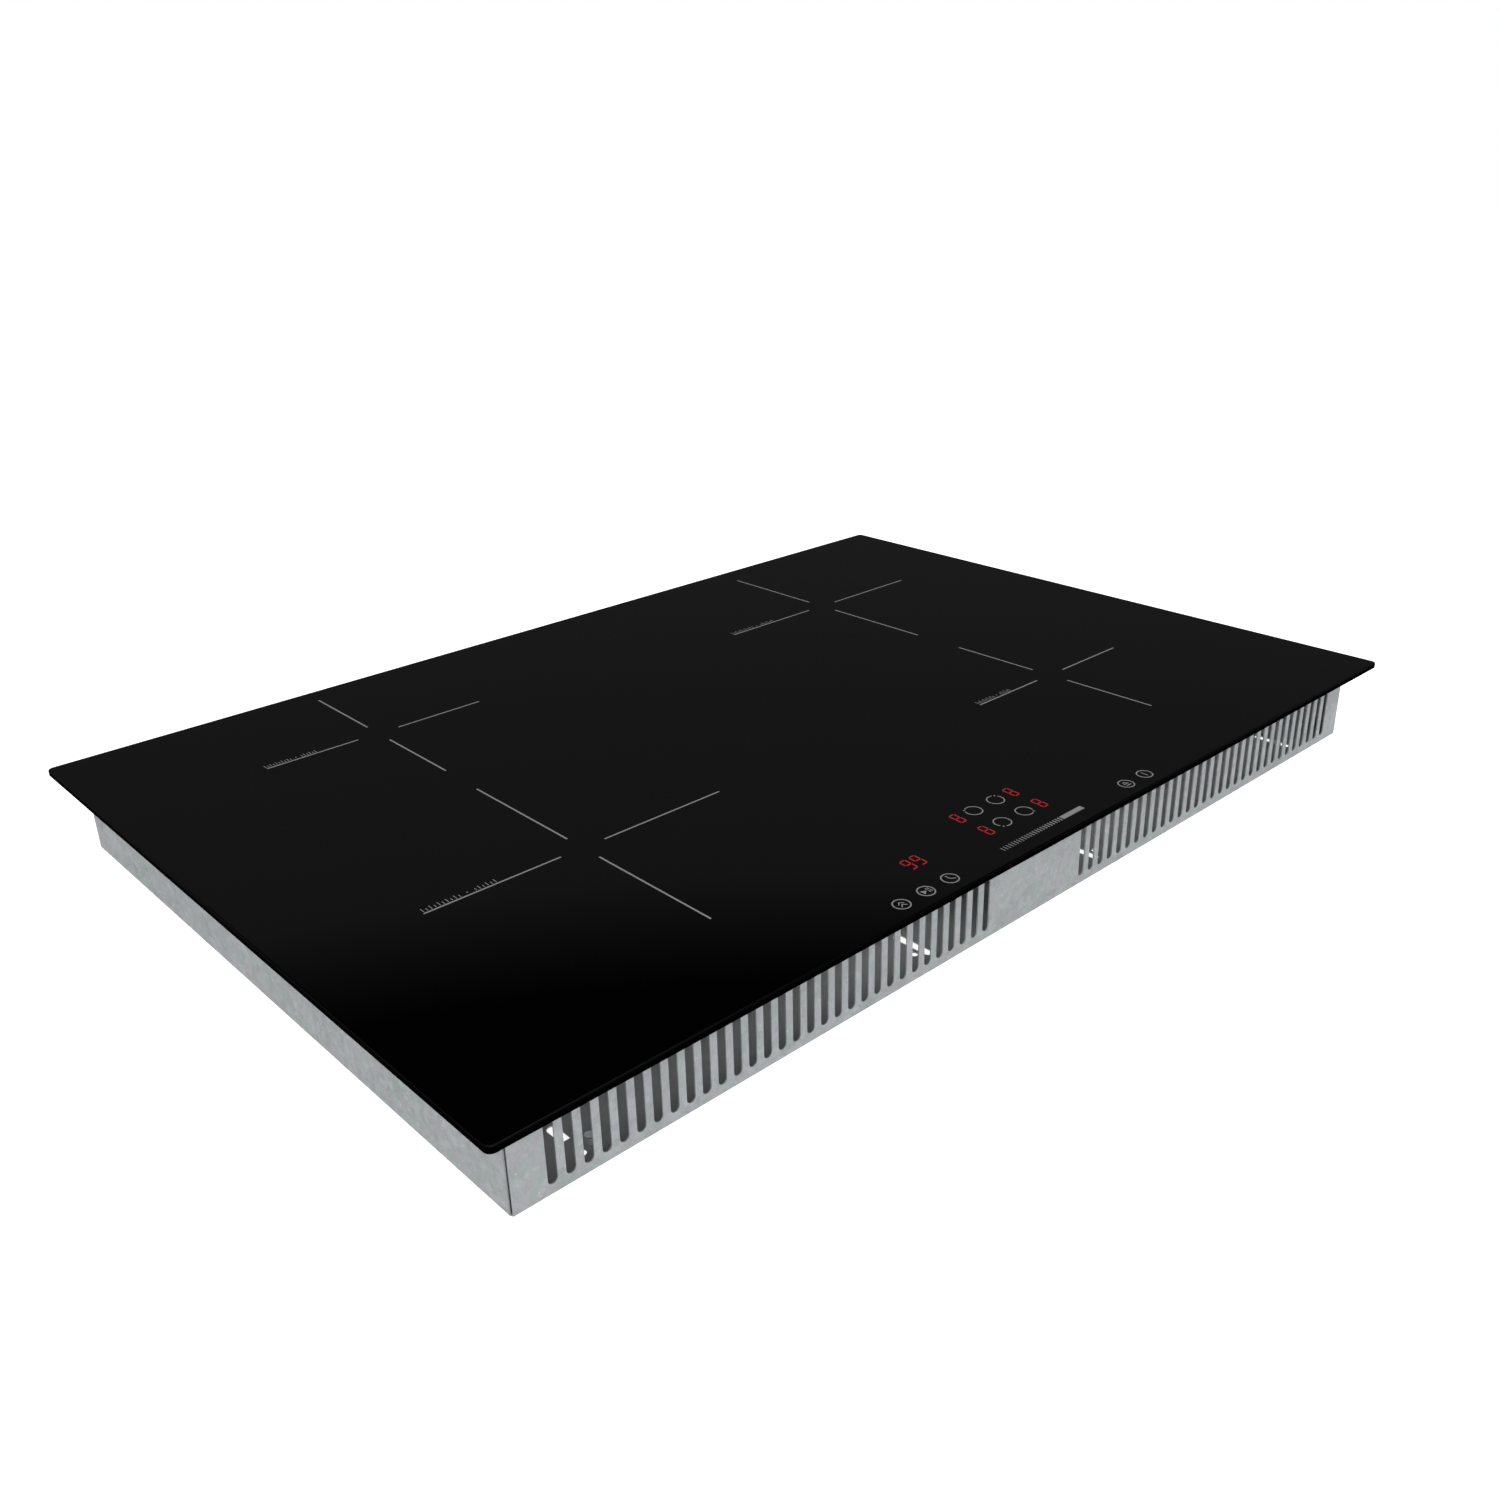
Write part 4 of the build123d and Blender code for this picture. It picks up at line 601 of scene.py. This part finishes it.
# Keys at the front edge: a ring each, with a generic sign.
KEY_Y = -247.7
KEY_RADIUS = 4.9
KEY_LINE = 0.78
SIGN_LINE = 0.6
keys = Print("print_keys_left", ink)
for x in (-123.4, -104.0, -84.6):
    keys.arc((x, KEY_Y), KEY_RADIUS, KEY_LINE)
for step in (-1.7, 0.6):
    foot, peak = KEY_Y + step - 0.6, KEY_Y + step + 1.4
    keys.line([(-125.5, foot), (-123.4, peak), (-121.3, foot)], SIGN_LINE)
keys.polygon([(-106.8, KEY_Y - 2.1), (-103.7, KEY_Y), (-106.8, KEY_Y + 2.1)])
for x in (-102.9, -101.5):
    for low in (-2.2, 0.3):
        keys.rectangle(x, KEY_Y + low, x + 0.6, KEY_Y + low + 1.9)
keys.line([(-84.8, KEY_Y + 3.2), (-84.8, KEY_Y), (-82.1, KEY_Y - 2.1)], 0.7)
keys.finish()

keys = Print("print_keys_right", ink)
for x in (80.9, 100.6):
    keys.arc((x, KEY_Y), KEY_RADIUS, KEY_LINE)
keys.arc((80.9, KEY_Y + 0.7), 1.4, 0.5, 0, 180)
for low in (-2.3, -0.3):
    keys.rectangle(78.7, KEY_Y + low, 83.1, KEY_Y + low + 0.7)
keys.line([(100.6, KEY_Y - 2.6), (100.6, KEY_Y + 2.6)], 0.7)
keys.finish()

# Zone selectors: a ring with a gap and a short dash on the side of the zone that it stands for.
selectors = Print("print_zone_keys", ink)
for x, y, corner in ((-12.4, -205.2, 135), (-12.1, -226.2, 225), (8.0, -205.3, 45), (8.0, -226.5, 315)):
    selectors.arc((x, y), 5.3, 0.72, corner + 20, 320)
    way = Vector((cos(radians(corner)), sin(radians(corner))))
    selectors.line([Vector((x, y)) + way * 4.9, Vector((x, y)) + way * 6.3], 0.8)
selectors.finish()

# Power slider: ticks that grow bolder to the right, then a full bar.
slider = Print("print_slider", ink)
SLIDER_TICKS = 23
for i in range(SLIDER_TICKS):
    share = i / (SLIDER_TICKS - 1)
    at = -38.7 + 52.6 * share
    slider.line([(at, -249.3), (at, -245.5)], 0.5 + 0.45 * share)
slider.rectangle(15.7, -249.3, 35.8, -245.5)
slider.finish()

# Lit digits under the glass. Each segment is one stroke of the usual seven.
SEGMENTS = {
    "top": ((-1, 1), (1, 1)),
    "middle": ((-1, 0), (1, 0)),
    "bottom": ((-1, -1), (1, -1)),
    "upper_left": ((-1, 0), (-1, 1)),
    "upper_right": ((1, 0), (1, 1)),
    "lower_left": ((-1, -1), (-1, 0)),
    "lower_right": ((1, -1), (1, 0)),
}
DIGIT_SLANT = tan(radians(3))
DIGIT_LINE = 0.85
SEGMENT_GAP = 0.25


def write_digit(marks, centre, half_width, half_height, unlit=()):
    for name, ends in SEGMENTS.items():
        if name in unlit:
            continue
        (x0, y0), (x1, y1) = [(u * half_width, v * half_height) for u, v in ends]
        along = Vector((x1 - x0, y1 - y0)).normalized()
        corners = [Vector((x0, y0)) + along * SEGMENT_GAP, Vector((x1, y1)) - along * SEGMENT_GAP]
        across = Vector((-along.y, along.x)) * DIGIT_LINE / 2
        tip = along * DIGIT_LINE / 2
        outline = [
            corners[0],
            corners[0] + tip - across,
            corners[1] - tip - across,
            corners[1],
            corners[1] - tip + across,
            corners[0] + tip + across,
        ]
        marks.polygon([(centre[0] + p.x + p.y * DIGIT_SLANT, centre[1] + p.y) for p in outline])


zone_digits = Print("lit_zone_digits", red)
for x in (-26.9, 22.8):
    for y in (-205.2, -226.3):
        write_digit(zone_digits, (x, y), 2.15, 5.2)
zone_digits.finish()
timer = Print("lit_timer_digits", red)
for x in (-88.9, -81.2):
    write_digit(timer, (x, -222.1), 2.15, 5.2, unlit=("lower_left",))
timer.finish()


# ------------------------------------------------------------------ floor, light and camera
def world_light():
    """A white studio with even soft light. Gloss sees a darker room: faint horizon, soft ceiling panel."""
    world = bpy.data.worlds.new("studio")
    bpy.context.scene.world = world
    world.use_nodes = True
    tree = world.node_tree
    tree.nodes.clear()

    def add(kind, **settings):
        made = tree.nodes.new("ShaderNode" + kind)
        for key, value in settings.items():
            setattr(made, key, value)
        return made

    direction = add("TexCoord")
    split = add("SeparateXYZ")
    tree.links.new(direction.outputs["Generated"], split.inputs[0])
    ramp = add("ValToRGB")
    tree.links.new(split.outputs["Z"], ramp.inputs[0])
    # Sine of the elevation, and how bright the room is there.
    levels = ((0.0, 0.3), (0.12, 0.15), (0.2, 0.046), (0.26, 0.046), (0.375, 0.052), (0.485, 0.066),
              (0.55, 0.0), (0.72, 0.0), (0.93, 0.3), (1.0, 0.35))
    elements = ramp.color_ramp.elements
    while len(elements) < len(levels):
        elements.new(0.5)
    for element, (place, level) in zip(elements, levels):
        element.position = place
        element.color = (level, level, level * 1.01, 1)
    path = add("LightPath")
    soft = add("Background")
    soft.inputs["Color"].default_value = (1, 1, 1, 1)
    soft.inputs["Strength"].default_value = 1.0
    gloss = add("Background")
    tree.links.new(ramp.outputs["Color"], gloss.inputs["Color"])
    white = add("Background")
    white.inputs["Color"].default_value = (1, 1, 1, 1)
    white.inputs["Strength"].default_value = 1.0
    first = add("MixShader")
    second = add("MixShader")
    out = add("OutputWorld")
    tree.links.new(path.outputs["Is Glossy Ray"], first.inputs[0])
    tree.links.new(soft.outputs[0], first.inputs[1])
    tree.links.new(gloss.outputs[0], first.inputs[2])
    tree.links.new(path.outputs["Is Camera Ray"], second.inputs[0])
    tree.links.new(first.outputs[0], second.inputs[1])
    tree.links.new(white.outputs[0], second.inputs[2])
    tree.links.new(second.outputs[0], out.inputs["Surface"])


def studio_floor():
    """A plain white floor just under the tray, open to views from below."""
    mesh = bpy.data.meshes.new("floor")
    half, z = 6.0, -0.5 * MM
    corners = [(-half, -half, z), (half, -half, z), (half, half, z), (-half, half, z)]
    mesh.from_pydata(corners, [], [(0, 1, 2, 3)])
    floor = bpy.data.objects.new("floor", mesh)
    bpy.context.scene.collection.objects.link(floor)
    material = bpy.data.materials.new("floor_white")
    material.use_nodes = True
    tree = material.node_tree
    tree.nodes.clear()

    def add(kind):
        return tree.nodes.new("ShaderNode" + kind)

    path, geometry, out = add("LightPath"), add("NewGeometry"), add("OutputMaterial")
    diffuse, glow, both = add("BsdfDiffuse"), add("Emission"), add("AddShader")
    dim, reflected, clear, mix = add("Emission"), add("MixShader"), add("BsdfTransparent"), add("MixShader")
    diffuse.inputs["Color"].default_value = (0.55, 0.55, 0.55, 1)
    level = add("MapRange")
    level.inputs["To Min"].default_value = 0.42
    level.inputs["To Max"].default_value = 0.9
    tree.links.new(path.outputs["Is Camera Ray"], level.inputs["Value"])
    tree.links.new(level.outputs["Result"], glow.inputs["Strength"])
    tree.links.new(diffuse.outputs[0], both.inputs[0])
    tree.links.new(glow.outputs[0], both.inputs[1])
    tree.links.new(geometry.outputs["Backfacing"], mix.inputs[0])
    dim.inputs["Strength"].default_value = 0.006
    tree.links.new(path.outputs["Is Glossy Ray"], reflected.inputs[0])
    tree.links.new(both.outputs[0], reflected.inputs[1])
    tree.links.new(dim.outputs[0], reflected.inputs[2])
    tree.links.new(reflected.outputs[0], mix.inputs[1])
    tree.links.new(clear.outputs[0], mix.inputs[2])
    tree.links.new(mix.outputs[0], out.inputs["Surface"])
    mesh.materials.append(material)


world_light()
studio_floor()

camera = bpy.data.objects.new("camera", bpy.data.cameras.new("camera"))
bpy.context.scene.collection.objects.link(camera)
EYE = Vector((-607.1, -669.05, 430.54)) * MM
RIGHT = Vector((0.734836, -0.677823, -0.023906))
UP = Vector((0.291925, 0.284271, 0.913219))
camera.matrix_world = Matrix.Translation(EYE) @ Matrix((RIGHT, UP, RIGHT.cross(UP))).transposed().to_4x4()
camera.data.sensor_width = 36.0
camera.data.lens = 33.881
camera.data.clip_start = 0.01
camera.data.clip_end = 50.0
bpy.context.scene.camera = camera
bpy.context.scene.view_settings.view_transform = "Standard"
